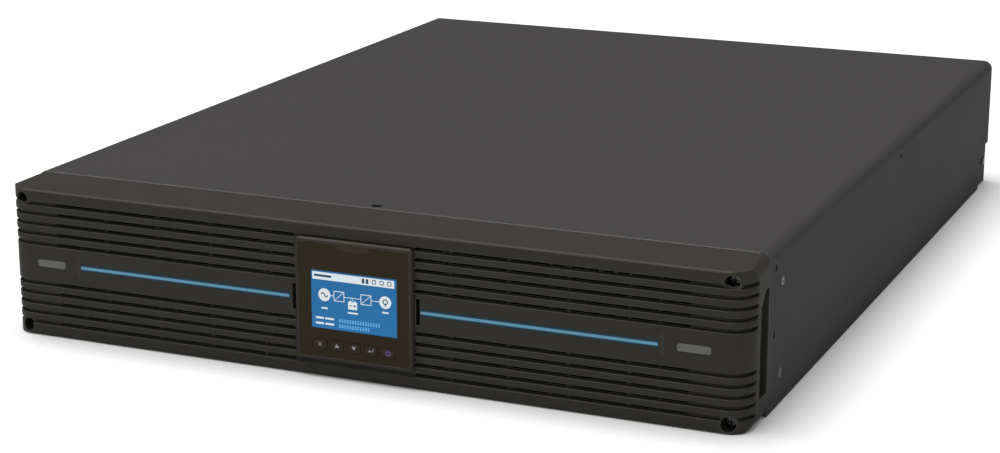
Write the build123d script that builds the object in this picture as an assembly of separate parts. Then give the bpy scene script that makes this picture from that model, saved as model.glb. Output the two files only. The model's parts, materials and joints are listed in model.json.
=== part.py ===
from build123d import *
import math
import os

# Rack or tower uninterruptible power supply, two rack units high.
# Millimetres. +X is to the right seen from the front, +Y runs to the rear, +Z is up.
# The origin is the centre of the base, at the level of the surface that it stands on.

# ---------------------------------------------------------------- driving dimensions
WIDTH = 440.0
HEIGHT = 88.0
BODY_LENGTH = 576.0  # from the bezel's face to the rear edge of the cover
BEZEL_DEPTH = 33.0
FACE_HEIGHT = 86.0  # the bezel's top slopes up from here to the cover
DISPLAY_PROUD = 2.6  # how far the display head stands in front of the bezel
KEY_PROUD = 0.12  # and its keys in front of the head
REAR_PROUD = 8.0  # the longest thumbscrew behind the cover's rear edge
BASE_CLEAR = 0.4  # the bezel's lower edge stays this far above the surface
BEZEL_TOP = HEIGHT - 0.5  # the cover's front edge shows above the bezel
SHEET = 1.2
COVER_BEND = 6.0
GAP = 0.1  # between stacked sheet parts

HALF = WIDTH / 2
LENGTH = KEY_PROUD + DISPLAY_PROUD + BODY_LENGTH + REAR_PROUD
FACE_Y = -LENGTH / 2 + KEY_PROUD + DISPLAY_PROUD
SEAM_Y = FACE_Y + BEZEL_DEPTH
REAR_Y = FACE_Y + BODY_LENGTH
COVER_INNER_X = HALF - SHEET
FLANGE_X = COVER_INNER_X - GAP  # outer face of the base's side flange
INNER_X = FLANGE_X - SHEET  # inner face of that flange
COVER_INNER_Z = HEIGHT - SHEET
FLANGE_TOP = 82.0
FOLD_CORNER = 5.0  # corner radius of the sheets that stand inside the folds

# front panel and rear panel
FRONT_PANEL_Y = SEAM_Y + 1.0
REAR_PANEL_Y = REAR_Y - 0.8  # outer face of the rear panel
PANEL_TOP = COVER_INNER_Z - 0.2

# bezel
BEZEL_WALL = 3.2
PLAN_RADIUS = 14.0
ELEVATION_RADIUS = 6.0
EDGE_RADIUS = 1.6
BEZEL_BACK = SEAM_Y - 0.3
FACE_MID = FACE_HEIGHT / 2
GROOVE_PITCH = 5.8
GROOVE_FIRST = 2 * GROOVE_PITCH + 0.1  # first groove's distance from mid height
GROOVES_EACH_WAY = 5
GROOVE_WIDTH = 2.0
GROOVE_LIP = 0.6
GROOVE_DEPTH = 2.6
GROOVE_START = 35.8
VENT_LENGTH, VENT_HEIGHT, VENT_PITCH = 31.6, 1.1, 33.4
VENT_FIRST = 54.5
POST_X, POST_RADIUS = HALF - 10.5, 5.2
POST_Z = (5.2, 80.0)
SCREW_RECESS_RADIUS, SCREW_SEAT = 4.0, 9.4
SCREW_RADIUS, SCREW_HOLE = 1.9, 2.3
ARCH_FLOOR = POST_Z[1] - 1.6  # the upper recesses are arches that stand on the first ridge
GRIP_Z = (14.0, 71.0)
GRIP_START, GRIP_CHAMFER = 18.4, 7.5
GRIP_DEPTH, GRIP_WALL = 7.0, 1.4
GRIP_BACK = 1.0  # the grip's wall towards the case
BADGE = (18.0, 4.0)
BADGE_X = 191.0
STRIP_X = (39.2, 171.6)
STRIP_HEIGHT = 2.8
STRIP_Z = 43.5
STRIP_DEPTH = 1.2

# display unit: a square head that turns in a round carrier that pulls out
DISPLAY_X, DISPLAY_Z = 0.7, 44.2
HEAD = (70.0, 68.0)
HEAD_RADIUS = 3.0
HEAD_REAR = FACE_Y - 0.3
HEAD_FRONT = FACE_Y - DISPLAY_PROUD
WINDOW = (66.0, 64.0)
WINDOW_THICK = 0.8
FLOOR_THICK = 0.5
SOCKET_RADIUS = 32.1  # round hole in the bezel
CARRIER_RADIUS = 32.0
HUB_RADIUS = 29.4
TURN_CLEAR = 0.1  # between the turning hub and its carrier
SCREEN = (51.0, 32.4)
SCREEN_MID = (0.3, 0.4)  # the screen's middle from the head's middle
KEY_PITCH = 10.2
KEY_Z = -24.8
KEY_CAP = (7.6, 5.4)
KEY_NAMES = ("key_escape", "key_up", "key_down", "key_enter", "key_power")
STATUS_Z = 30.0
FINGER_NOTCH = (35.5, 38.0, 14.6)  # from the display's middle, and its height

# battery bay and tray, on the left seen from the front
BAY_X = (-203.7, 0.7)
BAY_LENGTH = 488.0
BAY_TOP = 73.0
TRAY_CLEAR = 0.7
TRAY_SIDE = 30.0
TRAY_Z = SHEET + 0.6
BATTERY = (94.0, 151.0, 65.0)
BATTERY_ROWS = 3

# electronics, on the right
BOARD_X = (10.0, 212.0)
BOARD_Y = (SEAM_Y + 20.0, REAR_Y - 36.0)
BOARD_Z = 9.0
BOARD_THICK = 1.6
BOARD_TOP = BOARD_Z + BOARD_THICK

# rear panel
FAN_SIZE, FAN_DEPTH, FAN_Z = 80.0, 25.0, 43.6
FAN_X = (88.0, 171.0)
FAN_BORE = 38.2
FAN_HOLE_PITCH = 71.5
OUTLET_X = (-62.0, -2.0)
OUTLET_PITCH = (30.0, 27.0)
OUTLET_MID_Z = 44.0
POWER_X = -128.0
COMMS_X = -184.0
SIDE_COLUMN_X = 37.0


# ---------------------------------------------------------------- helpers
def block(x, y, z):
    """A box from three (low, high) pairs."""
    size = [abs(b - a) for a, b in (x, y, z)]
    middle = [(a + b) / 2 for a, b in (x, y, z)]
    return Pos(*middle) * Box(*size)


def front_plane(y):
    """A sketch plane that faces the front: sketch X is +X and sketch Y is +Z."""
    return Plane(origin=(0, y, 0), x_dir=(1, 0, 0), z_dir=(0, -1, 0))


def slab(sketch, y_low, y_high):
    """A sketch in X and Z, thickened from y_low to y_high."""
    return extrude(front_plane(y_low) * sketch, amount=-(y_high - y_low))


def rod_y(x, z, radius, y_low, y_high):
    return slab(Pos(x, z) * Circle(radius), y_low, y_high)


def rod_x(y, z, radius, x_low, x_high):
    middle = ((x_low + x_high) / 2, y, z)
    return Pos(*middle) * Rot(0, 90, 0) * Cylinder(radius, abs(x_high - x_low))


def rod_z(x, y, radius, z_low, z_high):
    return Pos(x, y, (z_low + z_high) / 2) * Cylinder(radius, z_high - z_low)


def rounded(width, height, radius, x=0.0, z=0.0):
    return Pos(x, z) * RectangleRounded(width, height, radius)


def mirrored(shape):
    """The same shape on the other side of the middle plane."""
    return mirror(shape, about=Plane.YZ)


def both_sides(shape):
    return [shape, mirrored(shape)]


def union(shapes):
    result = None
    for shape in shapes:
        result = shape if result is None else result + shape
    return result


def group(shapes):
    """Separate solids kept side by side in one node."""
    return Compound(children=[s for shape in shapes for s in shape.solids()])


# ---------------------------------------------------------------- sheet metal case
EAR_HOLE_Y = FACE_Y + 43.0
EAR_HOLE_Z = (41.8, 77.8)
EAR_HOLE_RADIUS = 2.3
FLUSH_SCREW_Y = FACE_Y + 55.5
FLUSH_SCREW_Z = (17.7, 67.4)
SIDE_HOLE = (FACE_Y + 307.5, 78.0)
CORNER_NOTCH = (28.0, 29.0, 8.0)  # length, height and corner radius
CORNER_SCREW = (REAR_Y - 11.0, 17.0)
TOP_NOTCH = (6.4, 5.0, 3.0)  # width, length and distance from the seam
TOP_NOTCH_X = -4.8
FLUSH_RADIUS = 2.6


def wrap(width, top, radius, thickness, z_low, y_low, y_high):
    """An upside-down U of bent sheet, with rounded upper edges."""
    outer = rounded(width, 2 * top, radius)
    inner = rounded(width - 2 * thickness, 2 * (top - thickness), radius - thickness)
    keep = Pos(0, (z_low + top) / 2) * Rectangle(width, top - z_low)
    return slab((outer - inner) & keep, y_low, y_high)


def side_hole(y, z, radius):
    """A drill that goes through both side walls."""
    return rod_x(y, z, radius, -HALF - 1, HALF + 1)


def make_top_cover():
    cover = wrap(WIDTH, HEIGHT, COVER_BEND, SHEET, 0.3, SEAM_Y, REAR_Y)
    width, length, offset = TOP_NOTCH
    notch_y = SEAM_Y + offset
    x = (TOP_NOTCH_X - width / 2, TOP_NOTCH_X + width / 2)
    cover -= block(x, (notch_y, notch_y + length), (HEIGHT - 5, HEIGHT + 1))
    for z in EAR_HOLE_Z:
        cover -= side_hole(EAR_HOLE_Y, z, EAR_HOLE_RADIUS)
    for z in FLUSH_SCREW_Z:
        cover -= side_hole(FLUSH_SCREW_Y, z, FLUSH_RADIUS + GAP)
    cover -= side_hole(*SIDE_HOLE, EAR_HOLE_RADIUS)
    length, height, radius = CORNER_NOTCH
    notch = Plane.YZ * Pos(REAR_Y, 0) * RectangleRounded(2 * length, 2 * height, radius)
    return cover - extrude(notch, amount=HALF + 1, both=True)


def make_base_tray():
    outer = rounded(2 * FLANGE_X, 2 * FLANGE_TOP, 2.0)
    inner = rounded(2 * INNER_X, 2 * (FLANGE_TOP - SHEET), 0.8)
    keep = Pos(0, -FLANGE_TOP / 2) * Rectangle(2 * FLANGE_X, FLANGE_TOP)
    tray = Pos(0, 0, FLANGE_TOP) * slab((outer - inner) & keep, SEAM_Y + 0.2, REAR_PANEL_Y - SHEET - GAP)
    for z in EAR_HOLE_Z:
        tray -= side_hole(EAR_HOLE_Y, z, EAR_HOLE_RADIUS)
    for z in FLUSH_SCREW_Z:
        tray -= side_hole(FLUSH_SCREW_Y, z, 1.6)
    tray -= side_hole(*SIDE_HOLE, EAR_HOLE_RADIUS)
    tray -= side_hole(*CORNER_SCREW, 1.6)
    return tray


def make_front_panel():
    """Sheet behind the bezel: an opening for the battery tray, and air slots on the other side."""
    low, high = FRONT_PANEL_Y, FRONT_PANEL_Y + SHEET
    bottom = SHEET + GAP
    outline = rounded(2 * (INNER_X - GAP), PANEL_TOP - bottom, FOLD_CORNER, 0, (PANEL_TOP + bottom) / 2)
    panel = slab(outline, low, high)
    panel -= block(BAY_X, (low - 1, high + 1), (0, BAY_TOP))
    for x in (-POST_X, POST_X):
        for z in POST_Z:
            panel -= rod_y(x, z, SCREW_HOLE, low - 1, high + 1)
    slot = slab(rounded(4.0, 22.0, 1.99), low - 1, high + 1)
    for row in (20.0, 44.0, 68.0):
        panel -= [Pos(24 + 8 * i, 0, row) * slot for i in range(22)]
    for x, z in THUMBSCREW_AT:
        if not BAY_X[0] < x < BAY_X[1] or z > BAY_TOP:
            panel -= rod_y(x, z, 2.4, low - 1, high + 1)
    return panel


def make_bay_wall():
    """One bent sheet: the wall beside the battery bay and the wall across its end."""
    y_low, y_end = FRONT_PANEL_Y + SHEET + GAP, SEAM_Y + BAY_LENGTH
    x_wall = (BAY_X[1] + 1.0, BAY_X[1] + 1.0 + SHEET)
    z = (SHEET, FLANGE_TOP)
    wall = block(x_wall, (y_low, y_end), z)
    wall += block((-INNER_X + 1.0, x_wall[1]), (y_end - SHEET, y_end), z)
    wall += block((x_wall[0], x_wall[1] + 5), (y_low, y_end), (SHEET, 2 * SHEET))
    return wall - plug_block(0.6, y_end - 5, y_end + 5)


def screw_head(radius, height, slot_depth):
    """A low round head, standing on Z = 0, with a cross recess."""
    head = Pos(0, 0, height / 2) * Cylinder(radius, height)
    head = chamfer(head.edges().group_by(Axis.Z)[-1], height * 0.35)
    cross = Box(radius * 1.2, radius * 0.28, 2 * slot_depth)
    return head - Pos(0, 0, height) * cross - Pos(0, 0, height) * Rot(0, 0, 90) * cross


def make_cover_screws():
    """Flush screws in the sides, and one at each rear lower corner."""
    head = screw_head(FLUSH_RADIUS, SHEET, 0.8) + Pos(0, 0, -2) * Cylinder(1.4, 4.1)
    on_right = Rot(0, 90, 0) * head
    screws = [Pos(FLANGE_X + GAP, FLUSH_SCREW_Y, z) * on_right for z in FLUSH_SCREW_Z]
    screws.append(Pos(FLANGE_X, *CORNER_SCREW) * on_right)
    return group([s for screw in screws for s in both_sides(screw)])


# ---------------------------------------------------------------- bezel
def bezel_envelope(inset, back):
    """The bezel's rounded outline, set in by inset: where a plan, a front view and a side view cross."""
    depth = back - FACE_Y - inset
    plan = Pos(0, back) * RectangleRounded(2 * (HALF - inset), 2 * depth, PLAN_RADIUS - inset)
    plan_prism = extrude(plan, amount=HEIGHT)
    view = rounded(2 * (HALF - inset), BEZEL_TOP - 2 * inset, ELEVATION_RADIUS - inset, 0, BEZEL_TOP / 2)
    view_prism = slab(view, FACE_Y, back)
    rise = (BEZEL_TOP - FACE_HEIGHT) * (back - FACE_Y) / BEZEL_DEPTH
    face_y = FACE_Y + inset
    corners = [
        (face_y, BASE_CLEAR + inset),
        (back, BASE_CLEAR + inset),
        (back, FACE_HEIGHT + rise - inset),
        (face_y, FACE_HEIGHT - inset),
    ]
    side = make_face(Polyline(*corners, close=True))
    front_corners = side.vertices().sort_by(Axis.X)[:2]
    side = fillet(front_corners, max(EDGE_RADIUS - inset, 0.4))
    side_prism = extrude(Plane.YZ * side, amount=HALF, both=True)
    return plan_prism & view_prism & side_prism


def groove_cutter():
    """One groove on the right half: along the face and round the corner, at Z = 0."""
    mouth = GROOVE_WIDTH / 2 + GROOVE_LIP
    half = GROOVE_WIDTH / 2
    diagonal = GROOVE_LIP * (1 - math.sqrt(0.5))
    low = [(-0.4, -mouth), (0, -mouth), (diagonal, -half - diagonal), (GROOVE_LIP, -half)]
    floor = (GROOVE_DEPTH, -half + 0.25)
    high = [(u, -v) for u, v in low]
    outline = (
        Line(low[0], low[1])
        + ThreePointArc(*low[1:4])
        + Polyline(low[3], floor, (floor[0], -floor[1]), high[3])
        + ThreePointArc(high[3], high[2], high[1])
        + Polyline(high[1], high[0], low[0])
    )
    start = Plane(origin=(GROOVE_START, FACE_Y, 0), x_dir=(0, 1, 0), z_dir=(1, 0, 0))
    straight = Line((GROOVE_START, FACE_Y, 0), (HALF - PLAN_RADIUS, FACE_Y, 0))
    corner = CenterArc((HALF - PLAN_RADIUS, FACE_Y + PLAN_RADIUS, 0), PLAN_RADIUS, -90, 90)
    return sweep(start * make_face(outline), path=straight + corner)


def groove_heights():
    steps = [GROOVE_FIRST + GROOVE_PITCH * i for i in range(GROOVES_EACH_WAY)]
    return [FACE_MID + side * step for side in (-1, 1) for step in steps]


def make_bezel():
    shell = bezel_envelope(0, BEZEL_BACK) - bezel_envelope(BEZEL_WALL, BEZEL_BACK + 1)
    groove = groove_cutter()
    vent = block(
        (-VENT_LENGTH / 2, VENT_LENGTH / 2),
        (FACE_Y, FACE_Y + BEZEL_WALL + 1),
        (-VENT_HEIGHT / 2, VENT_HEIGHT / 2),
    )
    for z in groove_heights():
        shell -= both_sides(Pos(0, 0, z) * groove)
        for i in range(5):
            shell -= both_sides(Pos(VENT_FIRST + VENT_PITCH * i - VENT_LENGTH / 2, 0, z) * vent)
    # screw posts, trimmed to the outline
    posts = [rod_y(POST_X, z, POST_RADIUS, FACE_Y + 2, BEZEL_BACK) for z in POST_Z]
    posts = union([p for post in posts for p in both_sides(post)]) & bezel_envelope(0, BEZEL_BACK)
    shell += posts
    for z in POST_Z:
        recess = rod_y(POST_X, z, SCREW_RECESS_RADIUS, FACE_Y - 1, FACE_Y + SCREW_SEAT)
        if z > FACE_MID:
            recess -= block((0, HALF), (FACE_Y - 2, FACE_Y + BEZEL_WALL), (0, ARCH_FLOOR))
        hole = rod_y(POST_X, z, SCREW_HOLE, FACE_Y, BEZEL_BACK + 1)
        shell -= both_sides(recess) + both_sides(hole)
    # stiffening ribs behind the face
    for x in (52.0, 112.0, 172.0):
        rib = block((x - 0.8, x + 0.8), (FACE_Y + BEZEL_WALL, FACE_Y + 11), (BEZEL_WALL, 82.8))
        shell += both_sides(rib)
    # round socket for the display unit, with a collar behind it and a finger notch each side
    shell += rod_y(DISPLAY_X, DISPLAY_Z, SOCKET_RADIUS + 2, FACE_Y + BEZEL_WALL, FACE_Y + 6.5)
    shell -= rod_y(DISPLAY_X, DISPLAY_Z, SOCKET_RADIUS, FACE_Y - 1, FACE_Y + 8)
    near, far, height = FINGER_NOTCH
    notch = block((near, far), (FACE_Y - 1, FACE_Y + 8), (STRIP_Z - height / 2, STRIP_Z + height / 2))
    shell -= [Pos(DISPLAY_X, 0, 0) * side for side in both_sides(notch)]
    # finger grips: pockets in the sides
    lining = block(
        (HALF - GRIP_DEPTH - GRIP_WALL, HALF - 1.5),
        (FACE_Y + GRIP_START - GRIP_WALL, BEZEL_BACK),
        (GRIP_Z[0] - GRIP_WALL, GRIP_Z[1] + GRIP_WALL),
    )
    shell += both_sides(lining)
    back = BEZEL_BACK - GRIP_BACK
    grip_outline = Polyline(
        (back, GRIP_Z[1]),
        (back, GRIP_Z[0]),
        (FACE_Y + GRIP_START, GRIP_Z[0]),
        (FACE_Y + GRIP_START, GRIP_Z[1] - GRIP_CHAMFER),
        (FACE_Y + GRIP_START + GRIP_CHAMFER, GRIP_Z[1]),
        close=True,
    )
    grip = extrude(Plane.YZ * make_face(grip_outline), amount=HALF + 1)
    grip -= block((0, HALF - GRIP_DEPTH), (FACE_Y, back + 1), (0, HEIGHT))
    shell -= both_sides(grip)
    # channels for the light strips, their end lines, and the badge seats
    for x_low, x_high, height, depth in (
        (*STRIP_X, STRIP_HEIGHT + 0.04, STRIP_DEPTH),
        (STRIP_X[1] + 2.0, STRIP_X[1] + 2.4, 11.0, 0.3),
    ):
        x = (x_low - 0.02, x_high + 0.02)
        channel = block(x, (FACE_Y - 1, FACE_Y + depth), (-height / 2, height / 2))
        shell -= both_sides(Pos(0, 0, STRIP_Z) * channel)
    seat = rounded(BADGE[0] + 0.1, BADGE[1] + 0.1, 1.6, BADGE_X, STRIP_Z)
    return shell - both_sides(slab(seat, FACE_Y - 1, FACE_Y + 0.6))


def make_light_strips():
    z = (STRIP_Z - STRIP_HEIGHT / 2, STRIP_Z + STRIP_HEIGHT / 2)
    return group(both_sides(block(STRIP_X, (FACE_Y - 0.15, FACE_Y + STRIP_DEPTH), z)))


def make_badges():
    """Two plain plates with no lettering."""
    plate = slab(rounded(*BADGE, 1.5, BADGE_X, STRIP_Z), FACE_Y - 0.3, FACE_Y + 0.6)
    return group(both_sides(plate))


def make_bezel_screws():
    """Captive screws that hold the bezel to the front panel."""
    head = Rot(90, 0, 0) * screw_head(3.2, 2.4, 1.6)
    seat = FACE_Y + SCREW_SEAT
    screws = []
    for x in (-POST_X, POST_X):
        for z in POST_Z:
            shank = rod_y(x, z, SCREW_RADIUS, seat, FRONT_PANEL_Y + 5)
            screws.append(Pos(x, seat, z) * head + shank)
    return group(screws)


# ---------------------------------------------------------------- display unit
def make_display_carrier():
    """Round cup that slides in the bezel's socket. Its rear flange is the pull-out stop."""
    y_low, y_back = FACE_Y + 0.6, FACE_Y + 23.0
    cup = rod_y(DISPLAY_X, DISPLAY_Z, CARRIER_RADIUS, y_low, y_back)
    cup += rod_y(DISPLAY_X, DISPLAY_Z, SOCKET_RADIUS + 2.5, y_back - 2, y_back)
    cup -= rod_y(DISPLAY_X, DISPLAY_Z, HUB_RADIUS + TURN_CLEAR, y_low - 1, y_back - 1.6)
    return cup - rod_y(DISPLAY_X, DISPLAY_Z, 8.0, y_back - 3, y_back + 1)


def make_display_frame():
    """Square head with a turned hub behind it, hollow for the display board."""
    head = slab(rounded(*HEAD, HEAD_RADIUS, DISPLAY_X, DISPLAY_Z), HEAD_FRONT, HEAD_REAR)
    head = chamfer(head.edges().group_by(Axis.Y)[0], 0.9)
    pocket_back = HEAD_REAR - FLOOR_THICK
    width, height = WINDOW
    pocket = rounded(width + 0.1, height + 0.1, 2.0, DISPLAY_X, DISPLAY_Z)
    head -= slab(pocket, HEAD_FRONT - 1, pocket_back)
    hub = rod_y(DISPLAY_X, DISPLAY_Z, HUB_RADIUS, HEAD_REAR, FACE_Y + 17)
    hub -= rod_y(DISPLAY_X, DISPLAY_Z, HUB_RADIUS - 1.5, FACE_Y + 8, FACE_Y + 18)
    hub -= rod_y(DISPLAY_X, DISPLAY_Z, HUB_RADIUS - 3.0, HEAD_REAR, FACE_Y + 9)
    frame = head + hub
    cable_slot = rounded(24.0, 6.0, 1.0, DISPLAY_X, DISPLAY_Z - 8)
    return frame - slab(cable_slot, pocket_back - 1, HEAD_REAR + 1)


def key_x(index):
    return DISPLAY_X + KEY_PITCH * (index - (len(KEY_NAMES) - 1) / 2)


def status_outline(growth):
    """A shallow trapezoid, wider at the top."""
    corners = [(-11, 1.7), (11, 1.7), (8.6, -1.7), (-8.6, -1.7)]
    shape = make_face(Polyline(*corners, close=True))
    shape = fillet(shape.vertices(), 0.6)
    shape = offset(shape, growth) if growth else shape
    return Pos(DISPLAY_X, DISPLAY_Z + STATUS_Z) * shape


def screen_middle():
    return DISPLAY_X + SCREEN_MID[0], DISPLAY_Z + SCREEN_MID[1]


def make_display_window():
    """Gloss front plate with openings for the keys and the status lens."""
    low, high = HEAD_FRONT, HEAD_FRONT + WINDOW_THICK
    window = slab(rounded(*WINDOW, 1.9, DISPLAY_X, DISPLAY_Z), low, high)
    for i in range(len(KEY_NAMES)):
        opening = rounded(KEY_CAP[0] + 0.5, KEY_CAP[1] + 0.5, 1.2, key_x(i), DISPLAY_Z + KEY_Z)
        window -= slab(opening, low - 1, high + 1)
    window -= slab(status_outline(0.05), low - 1, high + 1)
    return window - slab(rounded(*SCREEN, 0.6, *screen_middle()), low - 1, high + 1)


def make_display_screen():
    """The display cell: its glass fills the window's opening and its edge lies behind the window."""
    x, z = screen_middle()
    low, high = HEAD_FRONT + WINDOW_THICK, HEAD_REAR - FLOOR_THICK
    glass = slab(rounded(SCREEN[0] - 0.1, SCREEN[1] - 0.1, 0.55, x, z), HEAD_FRONT + 0.2, low)
    return glass + slab(Pos(x, z) * Rectangle(SCREEN[0] + 4, SCREEN[1] + 4), low, high)


def make_display_board():
    """Round board in the hub, with its driver chip and cable socket."""
    board = rod_y(DISPLAY_X, DISPLAY_Z, HUB_RADIUS - 1.6, FACE_Y + 9, FACE_Y + 10.6)
    chip = block((-7, 7), (FACE_Y + 10.6, FACE_Y + 12.2), (DISPLAY_Z + 3, DISPLAY_Z + 17))
    socket = block((-10, 10), (FACE_Y + 10.6, FACE_Y + 15), (DISPLAY_Z - 14, DISPLAY_Z - 8))
    return board + chip + socket


def make_status_lens():
    return slab(status_outline(0), HEAD_FRONT - 0.05, HEAD_FRONT + WINDOW_THICK)


def make_key(index):
    """A key cap with a flange behind the window that keeps it in."""
    x, z = key_x(index), DISPLAY_Z + KEY_Z
    back = HEAD_FRONT + WINDOW_THICK
    cap = slab(rounded(*KEY_CAP, 1.0, x, z), HEAD_FRONT - KEY_PROUD, back + 0.05)
    return cap + slab(rounded(KEY_CAP[0] + 1.2, KEY_CAP[1] + 1.2, 1.2, x, z), back + 0.05, back + 0.4)


# ---------------------------------------------------------------- battery pack
PLUG_X, PLUG_Z = -101.5, 40.0
PLUG_SIZE = (38.0, 18.0)
PLUG_FRONT, PLUG_REACH = 3.6, 9.0  # before and behind the tray's rear edge
TRAY_X = (BAY_X[0] + TRAY_CLEAR, BAY_X[1] - TRAY_CLEAR)
TRAY_FRONT_Y = FRONT_PANEL_Y  # the tray's front plate lies on the front panel
TRAY_LENGTH = 2.0 + BATTERY_ROWS * (BATTERY[1] + 0.5) + 5.0
TRAY_BACK_Y = TRAY_FRONT_Y + TRAY_LENGTH
PLATE_THICK = 1.0
HANDLE_SPAN, HANDLE_REACH, HANDLE_RADIUS, HANDLE_Z = 96.0, 18.0, 3.0, 40.0
SPIGOT_RADIUS = 1.8
TRAY_MID_X = sum(BAY_X) / 2
THUMBSCREW_AT = ((-170.0, 78.5), (-40.0, 78.5))


def make_battery_tray():
    plate_x = (BAY_X[0] - 2.6, BAY_X[1] + 2.6)
    tray = block(plate_x, (TRAY_FRONT_Y - PLATE_THICK, TRAY_FRONT_Y), (TRAY_Z, 84.0))
    tray += block(TRAY_X, (TRAY_FRONT_Y, TRAY_BACK_Y), (TRAY_Z, TRAY_Z + SHEET))
    for x in (TRAY_X[0], TRAY_X[1] - SHEET):
        tray += block((x, x + SHEET), (TRAY_FRONT_Y, TRAY_BACK_Y), (TRAY_Z, TRAY_Z + TRAY_SIDE))
    tray += block(TRAY_X, (TRAY_BACK_Y - SHEET, TRAY_BACK_Y), (TRAY_Z, TRAY_Z + TRAY_SIDE + 22))
    for x, z in THUMBSCREW_AT:
        tray -= rod_y(x, z, 2.4, TRAY_FRONT_Y - 3, TRAY_FRONT_Y + 1)
    for x in (TRAY_MID_X - HANDLE_SPAN / 2, TRAY_MID_X + HANDLE_SPAN / 2):
        tray -= rod_y(x, HANDLE_Z, SPIGOT_RADIUS + GAP, TRAY_FRONT_Y - 3, TRAY_FRONT_Y + 1)
    return tray - plug_block(0, TRAY_BACK_Y - 3, TRAY_BACK_Y + 1)


def make_tray_handle():
    """Round bar bent into a bow, on two short spigots through the tray's front plate."""
    half = HANDLE_SPAN / 2
    y_plate = TRAY_FRONT_Y - PLATE_THICK
    path = FilletPolyline(
        (TRAY_MID_X - half, y_plate, HANDLE_Z),
        (TRAY_MID_X - half, y_plate - HANDLE_REACH, HANDLE_Z),
        (TRAY_MID_X + half, y_plate - HANDLE_REACH, HANDLE_Z),
        (TRAY_MID_X + half, y_plate, HANDLE_Z),
        radius=8.0,
    )
    section = Plane(origin=(TRAY_MID_X - half, y_plate, HANDLE_Z), z_dir=(0, -1, 0)) * Circle(HANDLE_RADIUS)
    bar = sweep(section, path=path)
    for x in (TRAY_MID_X - half, TRAY_MID_X + half):
        bar += rod_y(x, HANDLE_Z, SPIGOT_RADIUS, y_plate, TRAY_FRONT_Y + 0.8)
    return bar


def thumbscrew(head_radius, head_length, shank_radius, shank_length):
    """A knurled head on -Y and a shank on +Y of the origin."""
    outline = Circle(head_radius)
    knurl = 18
    notch = Circle(0.45)
    for i in range(knurl):
        outline -= Rot(0, 0, 360 * i / knurl) * Pos(head_radius, 0) * notch
    head = slab(outline, -head_length, 0)
    slot = block((-head_radius, head_radius), (-head_length - 1, -head_length + 1.4), (-0.6, 0.6))
    return head - slot + rod_y(0, 0, shank_radius, 0, shank_length)


def make_tray_thumbscrews():
    screw = thumbscrew(5.0, 7.0, 1.9, 6.0)
    return group([Pos(x, TRAY_FRONT_Y - PLATE_THICK, z) * screw for x, z in THUMBSCREW_AT])


def battery_places():
    """Low corner of each battery, with +1 where its terminals face +X and -1 where they face -X."""
    floor = TRAY_Z + SHEET
    inner = (TRAY_X[0] + SHEET + 0.2, TRAY_X[1] - SHEET - 0.2)
    for row in range(BATTERY_ROWS):
        y = TRAY_FRONT_Y + 2.0 + row * (BATTERY[1] + 0.5)
        yield (inner[0], y, floor), 1
        yield (inner[1] - BATTERY[0], y, floor), -1


def battery_terminals():
    """Middle of each terminal's foot and the way it faces."""
    for (x, y, z), facing in battery_places():
        top = x + BATTERY[0] if facing > 0 else x
        for share in (0.14, 0.86):
            yield (top, y + BATTERY[1] * share, z + 13.0), facing


def lid_line(x_low, x_high, y, z, growth):
    """A slice of a battery's outline, grown on all four sides."""
    y_range = (y - growth, y + BATTERY[1] + growth)
    return block((x_low, x_high), y_range, (z - growth, z + BATTERY[2] + growth))


def make_battery_blocks():
    """Sealed lead-acid batteries that lie on their sides, each with its lid as a raised band."""
    blocks = []
    for (x, y, z), facing in battery_places():
        case = block((x, x + BATTERY[0]), (y, y + BATTERY[1]), (z, z + BATTERY[2]))
        case = fillet(case.edges().filter_by(Axis.X), 1.5)
        seam_x = x + (BATTERY[0] - 12 if facing > 0 else 12)
        ring = lid_line(seam_x - 0.5, seam_x + 0.5, y, z, 1.0)
        core = lid_line(seam_x - 1, seam_x + 1, y, z, -0.5)
        blocks.append(case - (ring - core))
    return group(blocks)


def make_battery_terminals():
    tabs = []
    for (x, y, z), facing in battery_terminals():
        foot = block((x, x + facing * 1.0), (y - 5, y + 5), (z - 4, z + 4))
        blade = block((x + facing * 1.0, x + facing * 5.0), (y - 3.1, y + 3.1), (z - 0.4, z + 0.4))
        tabs.append(foot + blade)
    return group(tabs)


def make_battery_leads():
    """Insulated jumper leads along the gap between the two columns, above the terminals."""
    leads = []
    ys = sorted({round(y, 3) for (_, y, _), _ in battery_terminals()})
    mid = sum(TRAY_X) / 2
    for start, end in zip(ys[1::2], ys[2::2]):
        leads.append(rod_y(mid, 34.0, 2.0, start - 12, end + 12))
    leads.append(rod_y(mid - 3.6, 42.0, 2.2, ys[0] + 12, TRAY_BACK_Y - 12))
    return group(leads)


def plug_block(margin, y_low, y_high):
    """The battery connector's outline, grown by margin."""
    width, height = PLUG_SIZE
    x = (PLUG_X - width / 2 - margin, PLUG_X + width / 2 + margin)
    z = (PLUG_Z - height / 2 - margin, PLUG_Z + height / 2 + margin)
    return block(x, (y_low, y_high), z)


def plug_blades(half_thickness, half_height, y_low, y_high):
    z = (PLUG_Z - half_height, PLUG_Z + half_height)
    places = [PLUG_X - PLUG_SIZE[0] / 4, PLUG_X + PLUG_SIZE[0] / 4]
    return [block((x - half_thickness, x + half_thickness), (y_low, y_high), z) for x in places]


def make_battery_plug():
    """Two-pole housing in the tray's rear wall, with two blades for the socket behind it."""
    y_back = TRAY_BACK_Y + PLUG_REACH
    body = plug_block(-GAP, TRAY_BACK_Y - PLUG_FRONT, y_back)
    flange = plug_block(2, TRAY_BACK_Y, TRAY_BACK_Y + 1.6)
    return union([body, flange, *plug_blades(1.2, 5.0, y_back, y_back + 12)])


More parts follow.
